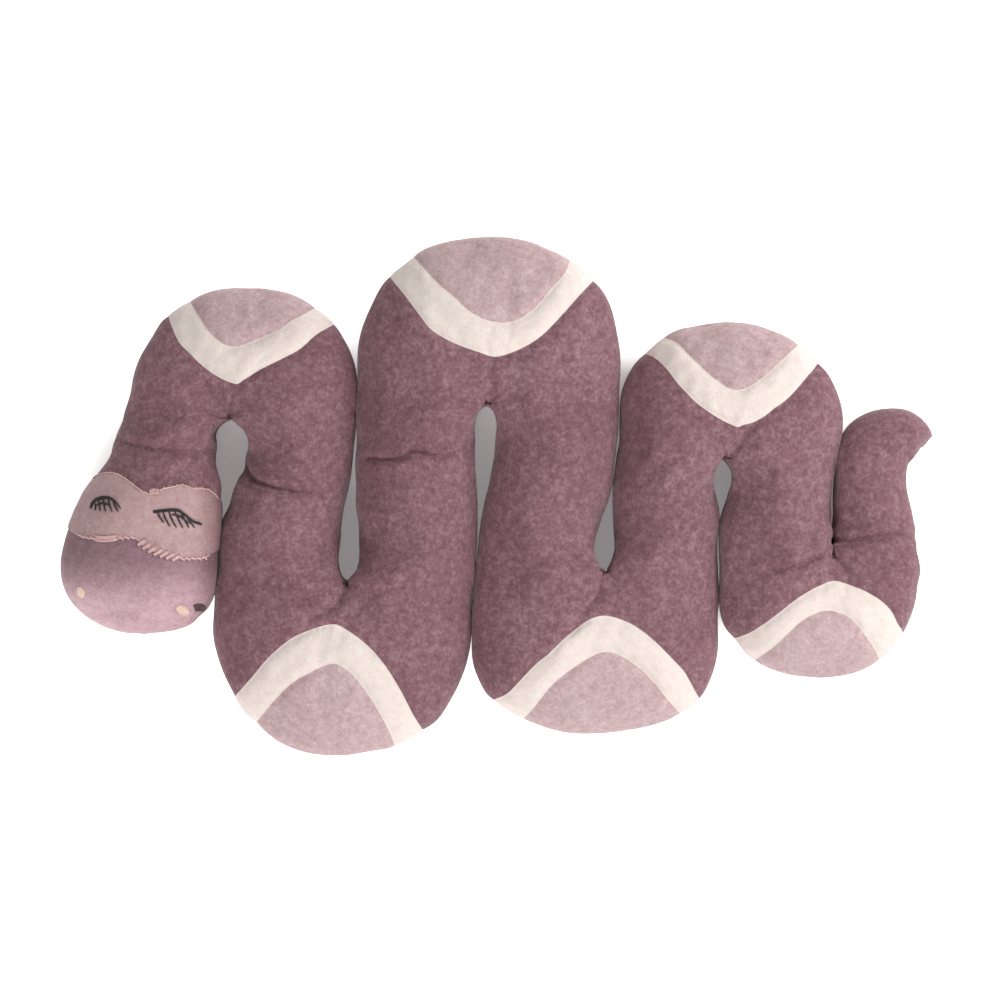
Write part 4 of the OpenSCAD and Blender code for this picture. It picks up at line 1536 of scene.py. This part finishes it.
@dataclass(frozen=True)
class Fabric:
    """A brushed or knitted cloth."""

    name: str
    dark: tuple[float, float, float]
    mid: tuple[float, float, float]
    light: tuple[float, float, float]
    speckle: float = 450.0
    contrast: float = 1.0
    loops: float = 600.0
    fibres: float = 1400.0
    relief: float = 0.5
    rough: float = 0.95
    sheen: float = 0.25
    glow: tuple[float, float, float] = (1.0, 0.9, 0.92)
    # Span along y, in metres, over which the colour darkens towards the top of the muzzle under the mask,
    # and the tone it is multiplied by: painted shade.
    fade: Optional[tuple[float, float]] = None
    fade_tone: tuple[float, ...] = (0.52, 0.47, 0.5, 1)
    # Span along x, in metres, over which the right cheek darkens, and the tone it is multiplied by: a
    # painted shadow of leg 2.
    cheek: Optional[tuple[float, float]] = None
    cheek_tone: tuple[float, ...] = (0.5, 0.42, 0.43, 1)
    fibre_high: float = 0.0012

    def make(self, melange: Tree, pile: Tree) -> bpy.types.Material:
        """Builds the material.

        Args:
            melange: The group that colours yarn.
            pile: The group that raises fibres.

        Returns:
            The material.
        """
        made, tree, shader = plain_material(self.name)
        yarn = place(tree, "ShaderNodeGroup", node_tree=melange)
        for label, value in (("Dark", self.dark), ("Mid", self.mid), ("Light", self.light)):
            yarn.inputs[label].default_value = (*(linear(v) for v in value), 1)
        yarn.inputs["Speckle"].default_value = self.speckle
        yarn.inputs["Contrast"].default_value = self.contrast
        fuzz = place(tree, "ShaderNodeGroup", node_tree=pile)
        fuzz.inputs["Loops"].default_value = self.loops
        fuzz.inputs["Fibres"].default_value = self.fibres
        bump = place(tree, "ShaderNodeBump", {"Strength": self.relief, "Distance": self.fibre_high,
                                              "Height": fuzz.outputs["Height"]})
        colour = yarn.outputs["Color"]
        split = place(tree, "ShaderNodeSeparateXYZ", {0: around_origin(tree)})
        # Painted shade: along y the colour darkens towards the top of the muzzle, under the mask.
        # Painted shadow: along x the colour darkens towards the right cheek, where leg 2 casts its shadow.
        for axis, span, shade in (("Y", self.fade, self.fade_tone), ("X", self.cheek, self.cheek_tone)):
            if span:
                share = ranged(tree, split.outputs[axis], *span, how="SMOOTHSTEP")
                colour = mixed(tree, share, colour, shade, "MULTIPLY")
        tree.links.new(colour, shader.inputs["Base Color"])
        tree.links.new(bump.outputs["Normal"], shader.inputs["Normal"])
        rough = ranged(tree, fuzz.outputs["Height"], 0.2, 1.1, self.rough, self.rough - 0.12)
        tree.links.new(rough, shader.inputs["Roughness"])
        shader.inputs["Sheen Weight"].default_value = self.sheen
        shader.inputs["Sheen Roughness"].default_value = 0.45
        shader.inputs["Sheen Tint"].default_value = (*self.glow, 1)
        shader.inputs["Specular IOR Level"].default_value = 0.18
        return made


@dataclass(frozen=True)
class Floss:
    """An embroidery thread."""

    name: str
    tone: tuple[float, float, float]
    rough: float = 0.5
    deep: float = 0.7
    twist: float = 420.0
    ridge: float = 0.0004

    def make(self) -> bpy.types.Material:
        """Builds the material, with the thread's twist as fine ridges.

        Returns:
            The material.
        """
        made, tree, shader = plain_material(self.name)
        twist = place(tree, "ShaderNodeTexWave",
                      {"Vector": around_origin(tree), "Scale": self.twist, "Distortion": 2.0, "Detail": 2.0},
                      bands_direction="DIAGONAL")
        tone = (*(linear(v) for v in self.tone), 1)
        deep = (*(linear(v) * self.deep for v in self.tone), 1)
        tree.links.new(mixed(tree, twist.outputs["Fac"], deep, tone), shader.inputs["Base Color"])
        bump = place(tree, "ShaderNodeBump", {"Strength": 0.4, "Distance": self.ridge,
                                              "Height": twist.outputs["Fac"]})
        tree.links.new(bump.outputs["Normal"], shader.inputs["Normal"])
        tree.links.new(ranged(tree, twist.outputs["Fac"], 0, 1, self.rough + 0.15, self.rough),
                       shader.inputs["Roughness"])
        shader.inputs["Sheen Weight"].default_value = 0.15
        return made


def linear(value: float) -> float:
    """A screen value from 0 to 255 as light."""
    v = value / 255
    return v / 12.92 if v <= 0.04045 else ((v + 0.055) / 1.055) ** 2.4


@dataclass
class Finishes:
    """All materials of the snake."""

    mauve: Fabric = Fabric("mauve_knit", (98, 62, 72), (138, 100, 108), (176, 143, 149),
                           speckle=430, contrast=0.44, relief=0.38)
    cream: Fabric = Fabric("cream_plush", (228, 213, 205), (242, 228, 220), (250, 240, 234),
                           speckle=360, contrast=0.3, relief=0.35, sheen=0.2)
    rose: Fabric = Fabric("rose_plush", (174, 140, 142), (203, 174, 175), (227, 205, 206),
                          speckle=430, contrast=0.44, relief=0.38)
    # Painted shade: the muzzle darkens towards its top, under the mask.
    # Painted shadow: the muzzle darkens on its right cheek, where leg 2 casts its shadow.
    muzzle: Fabric = Fabric("muzzle_velour", (172, 136, 144), (206, 170, 178), (228, 198, 204),
                            speckle=560, contrast=0.45, relief=0.26, fade=(-0.084, -0.036),
                            cheek=(-0.215, -0.193))
    # Painted shadow: the mask darkens on its right side, where leg 2 casts its shadow.
    mask: Fabric = Fabric("mask_jersey", (176, 140, 141), (199, 165, 165), (218, 189, 188),
                          speckle=600, contrast=0.45, relief=0.26, cheek=(-0.213, -0.191))
    black: Floss = Floss("black_thread", (32, 26, 28))
    dark: Floss = Floss("dark_thread", (84, 58, 62))
    peach: Floss = Floss("peach_thread", (255, 222, 204), 0.4)
    pink: Floss = Floss("pink_thread", (244, 202, 198), 0.45)

    def make(self) -> dict[str, bpy.types.Material]:
        """Builds every material.

        Returns:
            The materials by name.
        """
        melange, pile = melange_group(), pile_group()
        cloths = (self.mauve, self.cream, self.rose, self.muzzle, self.mask)
        made = {f.name: f.make(melange, pile) for f in cloths}
        return made | {f.name: f.make() for f in (self.black, self.dark, self.peach, self.pink)}


# ---------------------------------------------------------------- the snake


def finish(piece: Piece, material: bpy.types.Material, slot: str) -> None:
    """Gives a piece its material.

    Args:
        piece: The piece.
        material: Its material.
        slot: Not used.
    """
    piece.data.materials.clear()
    piece.data.materials.append(material)


def metres(x: float, y: float, z: float = 0.0) -> tuple[float, float, float]:
    """A place in metres."""
    return x * MM, y * MM, z * MM


@dataclass
class Bend:
    """One hairpin bend: a half of each leg beside it, the light band and its inset."""

    k: int
    skin: Skin
    rows: Array
    looks: dict[str, bpy.types.Material]
    fill: float = 0.75
    longest: float = 62.0
    least: float = 6.0
    beyond: tuple[float, float] = (60.0, 400.0)
    near_seam: float = 0.6
    near_station: float = 0.5

    def build(self) -> list[Piece]:
        """Cuts the four pieces out of the skin, dresses them and hangs the band and the inset on the bend's
        body.

        Returns:
            The pieces.
        """
        k, folded = self.k, self.skin.folded
        way = folded.up(k)
        first, last = self.skin.region(k)
        cloth = cloth_of(self.rows, first, last)
        outer = seam(CHEVRONS[k].outer)
        inner = seam(CHEVRONS[k].inner)
        end, legs = cloth.split(lambda p: signed(p[:, :2], outer, self.outside(outer)))
        inset, band = end.split(lambda p: signed(p[:, :2], inner, self.outside(inner)))
        middle = self.skin.fold(k)
        after, before = legs.split(lambda p: p[:, STATION] - middle)
        half = "upper" if way > 0 else "lower"
        made = [self.leg(before, k, half, first, outer), self.leg(after, k + 1, half, last, outer)]
        for part, name, look in ((band, "band", "cream_plush"), (inset, "inset", "rose_plush")):
            piece = sewn(f"bend_{k}_{name}_cloth", part)
            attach(piece, f"bend_{k}")
            nodes = [f"bend_{k}_{name}"] + ([f"bend_{k}_stuffing"] if name == "inset" else [])
            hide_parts(*nodes)
            finish(piece, self.looks[look], look)
            made.append(piece)
        return made

    def outside(self, line: Array) -> list[Point]:
        """Two points far beyond the end of the bend, which close what a seam parts off.

        Args:
            line: The seam.

        Returns:
            The points, which follow on the seam's last one.
        """
        aside, far = self.beyond
        far *= self.skin.folded.up(self.k)
        return [(line[-1][0] + aside, line[-1][1] + far), (line[0][0] - aside, line[0][1] + far)]

    def leg(self, part: Cloth, leg: int, half: str, ring: int, outer: Array) -> Piece:
        """Makes the half of a leg beside this bend and logs the span over which it turns.

        Args:
            part: Its cloth.
            leg: Number of the leg.
            half: Which half it is.
            ring: Station of its straight end.
            outer: The band's seam.

        Returns:
            The piece.
        """
        end = leg in (1, 7)
        name = f"leg_{leg}_cloth" if end else f"leg_{leg}_{half}_cloth"
        piece = sewn(name, part)
        node = f"leg_{leg}_panel" if end else f"leg_{leg}_{half}_panel"
        whole = end or half == "upper"
        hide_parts(node, *([f"leg_{leg}_stuffing"] if whole else []))
        finish(piece, self.looks["mauve_knit"], "mauve_knit")
        k, folded = self.k, self.skin.folded
        s = folded.size
        angle = math.radians(s.v_left[k - 1] if leg == k else s.v_right[k - 1])
        n = np.array([math.sin(angle) * (1 if leg == k else -1), folded.up(k) * math.cos(angle)])
        here = part.array()
        straight = here[np.abs(here[:, STATION] - ring) < self.near_station]
        edge = here[(line_distance(here[:, :2], outer)[0] < self.near_seam)
                    | (np.abs(here[:, STATION] - self.skin.fold(k)) < self.near_station)]
        start = float(np.max(straight[:, :2] @ n))
        stop = float(np.min(edge[:, :2] @ n))
        start = max(start, stop - self.longest)
        if stop - start < self.least:
            start = stop - self.least
        LOG.info("%s turns over %.0f mm", name, stop - start)
        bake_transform(piece)
        return piece


@dataclass
class Face:
    """The head and the neck, with the mask, the closed eyes, the nostril patches and the mouth."""

    skin: Skin
    rows: Array
    looks: dict[str, bpy.types.Material]
    seam_line: tuple[Point, ...] = ((20, 505), (70, 508), (110, 512), (150, 525), (190, 530), (250, 532))
    bend_from: float = 16.0
    bend_to: float = -8.0
    mask_top: tuple[Point, ...] = (
        (40, 500), (70, 486), (99, 475), (110, 473), (121, 476), (130, 482), (139, 489), (147, 493.5),
        (155, 492.5), (164, 489), (174, 487), (183, 485.5), (193, 488.6), (201, 488.6), (210, 491),
        (216, 496), (222, 504), (240, 515))
    mask_low: tuple[Point, ...] = (
        (40, 524), (58, 526), (71, 530), (81, 536), (90, 538), (97, 538.6), (117, 538.5), (127, 537.5),
        (136, 538), (142, 543), (150, 548.6), (159, 553), (169, 556), (179, 558.6), (193, 558.5),
        (204, 558), (211, 554), (232, 544))
    mask_from: float = -0.2
    mask_lift: tuple[float, float, float] = (0.35, 1.0, 2.6)
    mask_ripple: tuple[float, float, int] = (0.15, 9, 60)
    level_scale: tuple[float, float] = (20, 30)
    beyond: float = 300
    nose_tip: float = 0.6
    bold: tuple[float, float] = (138.0, 180.0)
    bold_below: float = 530
    bold_reach: tuple[float, float] = (3.8, -2.5)
    bold_pitch: float = 6.3
    bold_shifts: tuple[float, ...] = (-0.8, 0.0, 0.8)
    bold_off: float = 0.9
    stitch_off: float = 0.5
    slant: float = 1.2
    steep: float = 3.5
    first_stitch: float = 2.0
    cord_step: float = 3.0
    cord_off: float = 0.35
    lid_shifts: tuple[float, ...] = (-0.8, 0.1, 1.0)
    lash_shifts: tuple[float, ...] = (0.0, 0.7)
    eye_off: float = 0.4
    patch_off: float = 0.3
    over_head: float = 200
    first_guess: float = 60.0
    in_head: float = 40

    def build(self) -> list[Piece]:
        """Builds the cloth pieces and the stitched features.

        Returns:
            The pieces.
        """
        self.under = self.tree(self.head_cloth())
        made = [self.neck(), *self.head(), self.mask()]
        self.over = self.tree_of(made[-1])
        made += [*self.eyes(), *self.nostrils(), self.mouth(), self.whip()]
        return made

    def head_cloth(self) -> Cloth:
        """The whole skin of the head, closed at the nose.

        Returns:
            The cloth.
        """
        first, last = self.skin.st.span("head")
        cloth = cloth_of(self.rows, first, last + 1)
        m = self.rows.shape[1]
        tip = self.rows[0].mean(axis=0)
        tip[1] -= self.nose_tip
        tip[LEVEL] = 0.0
        tip[NORMAL] = (0, -1, 0)
        return capped(cloth, range(m), tip)

    @staticmethod
    def tree(cloth: Cloth) -> BVHTree:
        """A search tree of a cloth, in millimetres."""
        return BVHTree.FromPolygons([Vector(p[:3]) for p in cloth.points], cloth.faces)

    @staticmethod
    def tree_of(piece: Piece) -> BVHTree:
        """A search tree of a piece, in millimetres."""
        return BVHTree.FromPolygons([v.co / MM for v in piece.data.vertices],
                                    [tuple(p.vertices) for p in piece.data.polygons])

    def on(self, px: float, py: float, off: float = 0.0, over: bool = True) -> Array:
        """Where the camera sees a pixel on the head.

        Args:
            px: Pixel from the left.
            py: Pixel from the top.
            off: Height above the cloth.
            over: Whether the mask carries it where there is a mask.

        Returns:
            The place.
        """
        z, normal, hit = self.first_guess, Vector((0, 0, 1)), None
        for _ in range(3):
            x, y = at(px, py, z)
            hits = [t.ray_cast(Vector((x, y, self.over_head)), Vector((0, 0, -1)))
                    for t in ((self.under, self.over) if over else (self.under,))]
            hits = [h for h in hits if h[0] is not None]
            if hits:
                hit, normal = max(hits, key=lambda h: h[0].z)[:2]
                z = hit.z
        if hit is None:
            hit, normal = self.under.find_nearest(Vector((x, y, self.in_head)))[:2]
        return np.array(hit + normal * off)

    def line(self, pixels: Sequence[Point], off: float, over: bool = True, steps: int = 4) -> Array:
        """A smooth line on the head through pixels.

        Args:
            pixels: The pixels.
            off: Height above the cloth.
            over: Whether the mask carries it where there is a mask.
            steps: Points from one pixel to the next.

        Returns:
            The points of the line.
        """
        return np.array([self.on(x, y, off, over) for x, y in smooth_line(pixels, steps)])

    def turn(self, piece: Piece) -> None:
        """Bakes a piece of the head's transform into its mesh."""
        metres(0, self.bend_from)
        metres(0, self.bend_to)
        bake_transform(piece)

    def neck(self) -> Piece:
        """Makes the neck's ring of cloth.

        Returns:
            The piece.
        """
        first, _ = self.skin.st.span("neck")
        last, _ = self.skin.st.span("leg_1")
        piece = sewn("neck_cloth", cloth_of(self.rows, first, last))
        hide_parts("neck_panel", "neck_stuffing")
        finish(piece, self.looks["mauve_knit"], "mauve_knit")
        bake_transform(piece)
        return piece

    def head(self) -> list[Piece]:
        """Makes the head's three panels.

        Returns:
            The pieces.
        """
        line = smooth_line([at(x, y, BROW) for x, y in self.seam_line], 6)
        back, front = self.head_cloth().split(lambda p: self.above(p, line))
        muzzle, chin = front.split(lambda p: p[:, LEVEL] * self.level_scale[0])
        made = []
        for part, name, nodes, look in (
                (back, "head_back_cloth", ("head_back_panel", "head_stuffing"), "mauve_knit"),
                (muzzle, "muzzle_cloth", ("muzzle_panel",), "muzzle_velour"),
                (chin, "chin_cloth", ("chin_panel",), "muzzle_velour")):
            piece = sewn(name, part)
            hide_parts(*nodes)
            finish(piece, self.looks[look], look)
            if name == "head_back_cloth":
                self.turn(piece)
            else:
                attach(piece, "head")
            made.append(piece)
        return made

    def above(self, points: Array, line: Array) -> Array:
        """How far points lie beyond a seam across the head, on the neck's side.

        Args:
            points: Points of the skin with what they carry.
            line: The seam.

        Returns:
            The distances, less than zero on the nose's side.
        """
        return signed(points[:, :2], line, [(line[-1][0], self.beyond), (line[0][0], self.beyond)])

    def mask(self) -> Piece:
        """Makes the mask, a second layer of cloth sewn over the head.

        Returns:
            The piece.
        """
        top = smooth_line([at(x, y, BROW) for x, y in self.mask_top], 4)
        low = smooth_line([at(x, y, BROW) for x, y in self.mask_low], 4)
        cut, _ = self.head_cloth().split(self.over_side)
        cut, _ = cut.split(lambda p: self.above(p, low))
        cut, _ = cut.split(lambda p: -self.above(p, top))
        here = cut.array()
        gap = np.minimum(line_distance(here[:, :2], top)[0], line_distance(here[:, :2], low)[0])
        gap = np.minimum(gap, np.maximum(0, self.over_side(here)))
        least, rise, edge = self.mask_lift
        ripple, size, seed = self.mask_ripple
        lift = least + rise * (1 - np.exp(-(gap / edge))) + ripple * waves(here[:, :3], size, seed)
        piece = sewn("mask_cloth", cut, 1.0, lift)
        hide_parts("eye_mask")
        finish(piece, self.looks["mask_jersey"], "mask_jersey")
        self.turn(piece)
        return piece

    def over_side(self, points: Array) -> Array:
        """How far points lie above the mask's lowest level, about in millimetres."""
        return (points[:, LEVEL] - self.mask_from) * self.level_scale[1]

    def stitched(self, name: str, paths: Sequence[Array], radius: float, look: str, node: str,
                 taper: float = 0.5) -> Piece:
        """Makes a stitched feature of threads.

        Args:
            name: Name of the piece.
            paths: Points of the threads.
            radius: Half the thickness of a thread.
            look: Name of its material.
            node: The solid that it replaces, if any.
            taper: Share of the thickness at a thread's ends.

        Returns:
            The piece.
        """
        piece = thread(name, paths, radius, taper)
        if node:
            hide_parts(node)
        finish(piece, self.looks[look], "peach_thread" if look == "pink_thread" else look)
        self.turn(piece)
        return piece

    def eyes(self) -> list[Piece]:
        """Stitches the two closed eyes with their lashes.

        Returns:
            The pieces.
        """
        left = [((91, 508.5), (94, 502), (100, 498.5), (107, 497.5), (114, 500), (121, 508)),
                ((95, 502), (96, 506), (95.5, 510)), ((99, 500), (100, 505), (100.5, 511)),
                ((104, 499), (104.5, 505), (106, 511.5)), ((109, 499), (110, 505), (112.5, 511.5)),
                ((113.5, 501), (115.5, 506), (118.5, 511)), ((97, 505), (103, 503), (110, 505))]
        right = [((153.5, 512), (160, 511), (170, 510), (179, 510.5), (187, 516), (194, 521.5),
                  (202, 524)),
                 ((158, 512), (160, 517), (164, 522)), ((163, 511), (166, 519), (170, 526)),
                 ((169, 511), (172, 519), (176.5, 527)), ((175, 511), (178.5, 519), (183, 527.5)),
                 ((181, 512), (185, 520), (189, 527.5)), ((187, 516.5), (190.5, 522), (194.5, 527)),
                 ((172, 514), (180, 516), (189, 523))]
        made = []
        for name, marks, node in (("left_eye_thread", left, "left_eye"),
                                  ("right_eye_thread", right, "right_eye")):
            paths = []
            for mark in marks:
                for shift in (self.lid_shifts if mark is marks[0] else self.lash_shifts):
                    paths.append(self.line([(x + shift * 0.6, y + shift) for x, y in mark], self.eye_off))
            made.append(self.stitched(name, paths, 0.55, "black_thread", node, 0.35))
        return made

    def nostrils(self) -> list[Piece]:
        """Stitches the two light patches low on the muzzle.

        Returns:
            The pieces.
        """
        made = []
        for name, node, middle, half, turn in (
                ("left_nostril_thread", "left_nostril", (81.5, 592), (3.6, 6.0), -20),
                ("right_nostril_thread", "right_nostril", (183, 610), (7.0, 5.0), 25)):
            paths = []
            a = math.radians(turn)
            for i in np.linspace(-0.9, 0.9, 13):
                reach = math.sqrt(1 - i * i) * half[1]
                pixels = [(middle[0] + i * half[0] * math.cos(a) - v * math.sin(a),
                           middle[1] + i * half[0] * math.sin(a) + v * math.cos(a))
                          for v in (-reach, 0.0, reach)]
                paths.append(self.line(pixels, self.patch_off, over=False, steps=3))
            made.append(self.stitched(name, paths, 0.62, "peach_thread", node, 0.3))
        return made

    def mouth(self) -> Piece:
        """Stitches the corner of the mouth.

        Returns:
            The piece.
        """
        paths = [self.line([(193.5 + i / 3, 605 + i), (198, 604 + i), (202, 604.5 + i), (205.5, 607 + i)],
                           self.patch_off, over=False) for i in np.linspace(0, 6, 10)]
        return self.stitched("mouth_thread", paths, 0.66, "dark_thread", "mouth_stitch")

    def whip(self) -> Piece:
        """Stitches the slanted stitches that hold the mask, the cord along its edge and its knot.

        Returns:
            The piece.
        """
        paths = []
        for edge, pitch, reach in ((self.mask_low[2:-1], 5.6, 2.0), (self.mask_top[1:-1], 6.4, 1.6)):
            line = smooth_line(edge, 12)
            paths += self.slants(line, pitch, reach) + self.cord(line)
        for i in (-2.2, -1.1, 0, 1.1, 2.2):
            paths.append(self.line([(149.5, 493.5 + i), (154.5, 492 + i), (159.5, 493 + i)], 0.9, steps=3))
        for i in (-2.6, -1.6, 1.4, 2.4):
            paths.append(self.line([(96, 538.6 + i), (107, 539.2 + i), (118, 538 + i)], 0.7, steps=4))
        return self.stitched("mask_stitches", paths, 0.5, "pink_thread", "", 0.6)

    def slants(self, line: Array, pitch: float, reach: float) -> list[Array]:
        """The slanted stitches over an edge, without those that would hang over a steep side.

        Args:
            line: The edge, in pixels.
            pitch: Distance from stitch to stitch.
            reach: Half the height of a stitch.

        Returns:
            Points of the threads.
        """
        paths = []
        along = run_of(line)
        s = self.first_stitch
        while s < along[-1] - self.first_stitch:
            x, y = (float(np.interp(s, along, line[:, i])) for i in (0, 1))
            bold = y > self.bold_below and self.bold[0] < x < self.bold[1]
            right, down = self.bold_reach if bold else (reach * self.slant, reach)
            for shift in (self.bold_shifts if bold else (0,)):
                path = self.line([(x - right + shift * 0.5, y - down + shift),
                                  (x + shift * 0.5, y + shift),
                                  (x + right + shift * 0.5, y + down + shift)],
                                 self.bold_off if bold else self.stitch_off, steps=3)
                if np.ptp(path[:, 2]) < self.steep:
                    paths.append(path)
            s += self.bold_pitch if bold else pitch
        return paths

    def cord(self, line: Array) -> list[Array]:
        """The cord along an edge, which the bold stitches interrupt.

        Args:
            line: The edge, in pixels.

        Returns:
            Points of the cord's parts.
        """
        along = run_of(line)
        cord = [tuple(float(np.interp(v, along, line[:, i])) for i in (0, 1))
                for v in np.arange(0, along[-1], self.cord_step)]
        before = [c for c in cord if c[0] < self.bold[0] or c[1] < self.bold_below]
        after = [c for c in cord if c[0] > self.bold[1] and c[1] > self.bold_below]
        return [self.line(part, self.cord_off, steps=2) for part in (before, after) if len(part) > 2]


@dataclass
class Tail:
    """The tail with its curled tip."""

    skin: Skin
    rows: Array
    looks: dict[str, bpy.types.Material]
    turn_over: float = 36.0
    tip_reach: float = 0.8

    def build(self) -> Piece:
        """Makes the tail's cloth, closed at its tip.

        Returns:
            The piece.
        """
        _, first = self.skin.st.span("leg_7")
        last = len(self.rows) - 1
        cloth = cloth_of(self.rows, first, last)
        m = self.rows.shape[1]
        tip = self.rows[last].mean(axis=0)
        step = self.rows[last, :, :3].mean(axis=0) - self.rows[last - 2, :, :3].mean(axis=0)
        tip[:3] += step * self.tip_reach
        tip[NORMAL] = step / np.linalg.norm(step)
        cloth = capped(cloth, range((last - first) * m, (last - first + 1) * m), tip)
        piece = sewn("tail_cloth", cloth)
        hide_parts("tail_panel", "tail_stuffing")
        finish(piece, self.looks["mauve_knit"], "mauve_knit")
        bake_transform(piece)
        return piece


# ---------------------------------------------------------------- the studio


@dataclass(frozen=True)
class Lamp:
    """A soft light that faces the snake."""

    name: str
    spot: tuple[float, float, float]
    size: float
    watts: float

    def hang(self) -> None:
        """Adds it to the scene."""
        bpy.ops.object.light_add(type="AREA", location=self.spot)
        lamp = bpy.context.object
        lamp.name = self.name
        lamp.data.size = self.size
        lamp.data.energy = self.watts
        lamp.rotation_euler = (-Vector(self.spot)).to_track_quat("-Z", "Y").to_euler()


@dataclass
class Studio:
    """The floor, the lights and the camera above."""

    floor_size: float = 8
    floor_tone: float = 0.95
    floor_grain: float = 30.0
    floor_glow: float = 0.35
    # Extra glow that only the camera sees: painted light on the floor.
    floor_white: float = 0.6
    slot_glow: float = 0.19
    near_wall: float = 0.005
    shade: tuple[float, float] = (285.0, 108.0)
    shade_edge: tuple[float, float] = (0.8, 1.1)
    sky: float = 0.28
    film: float = 36
    view_end: float = 20
    lamps: tuple[Lamp, ...] = (Lamp("side", (1.72, 0.5, 0.84), 0.9, 15.5),
                               Lamp("front", (-0.6, -2.55, 1.84), 1.5, 61),
                               Lamp("back", (1.73, 1.73, 2.06), 1.5, 39))

    def build(self) -> None:
        """Sets up everything round the snake."""
        self.floor()
        for lamp in self.lamps:
            lamp.hang()
        self.world()
        self.camera()

    def floor(self) -> None:
        """Lays a white floor, which glows softly outside the snake's own shade and in its slots."""
        bpy.ops.object.select_all(action="DESELECT")
        bpy.ops.mesh.primitive_plane_add(size=self.floor_size, location=(0, 0, 0))
        floor = bpy.context.object
        floor.name = "floor"
        paper, tree, shader = plain_material("floor_paper")
        where = around_origin(tree)
        grain = noisy(tree, where, self.floor_grain, 2.0)
        tone = ranged(tree, grain, 0.3, 0.7, self.floor_tone - 0.01, self.floor_tone)
        spread = (1 / (self.shade[0] * MM), 1 / (self.shade[1] * MM), 0)
        scaled = place(tree, "ShaderNodeVectorMath", {0: where, 1: spread}, operation="MULTIPLY")
        away = place(tree, "ShaderNodeVectorMath", {0: scaled.outputs[0]}, operation="LENGTH")
        outside = ranged(tree, away.outputs["Value"], *self.shade_edge)
        # Painted light: extra glow that only the camera sees whitens the floor and hides the snake's cast
        # shadow outside its own shade.
        seen = place(tree, "ShaderNodeLightPath").outputs["Is Camera Ray"]
        glow = ranged(tree, seen, 0, 1, self.floor_glow, self.floor_glow + self.floor_white)
        open_sky = place(tree, "ShaderNodeAmbientOcclusion", {"Distance": self.near_wall}, samples=4)
        slots = sums(tree, "MULTIPLY", open_sky.outputs["AO"], self.slot_glow)
        glow = sums(tree, "MAXIMUM", sums(tree, "MULTIPLY", outside, glow), slots)
        tree.links.new(glow, shader.inputs["Emission Strength"])
        tree.links.new(tone, shader.inputs["Base Color"])
        shader.inputs["Roughness"].default_value = 0.9
        shader.inputs["Specular IOR Level"].default_value = 0.1
        shader.inputs["Emission Color"].default_value = (1, 1, 1, 1)
        floor.data.materials.append(paper)

    def world(self) -> None:
        """Surrounds the snake with a dim white sky."""
        world = bpy.data.worlds.new("studio")
        world.use_nodes = True
        back = world.node_tree.nodes["Background"]
        back.inputs["Color"].default_value = (1, 1, 1, 1)
        back.inputs["Strength"].default_value = self.sky
        bpy.context.scene.world = world
        bpy.context.scene.view_settings.view_transform = "Standard"

    def camera(self) -> None:
        """Looks straight down, as far off as the picture was taken, with its frame."""
        height = (EYE_HEIGHT + PIXEL_PLANE) * MM
        bpy.ops.object.camera_add(location=((FRAME[0] / 2 - MIDDLE[0]) * PIXEL * MM,
                                            (MIDDLE[1] - FRAME[1] / 2) * PIXEL * MM, height))
        view = bpy.context.object
        view.name = "camera"
        view.rotation_euler = (0, 0, 0)
        view.data.sensor_width = self.film
        view.data.lens = self.film * EYE_HEIGHT / (FRAME[0] * PIXEL)
        view.data.clip_end = self.view_end
        bpy.context.scene.camera = view


def main() -> None:
    """Builds the snake and its studio in order and reports each piece."""
    logging.basicConfig(level=logging.INFO, format="%(name)s: %(message)s")
    Studio().build()
    looks = Finishes().make()
    skin = Skin()
    Stuffing().swell(skin)
    skin.shape(Relief())
    rows = skin.rows()
    made = Face(skin, rows, looks).build()
    for k in CHEVRONS:
        made += Bend(k, skin, rows, looks).build()
    made.append(Tail(skin, rows, looks).build())
    for piece in made:
        LOG.info("%s: %d faces", piece.name, len(piece.data.polygons))


if __name__ == "__main__":
    main()
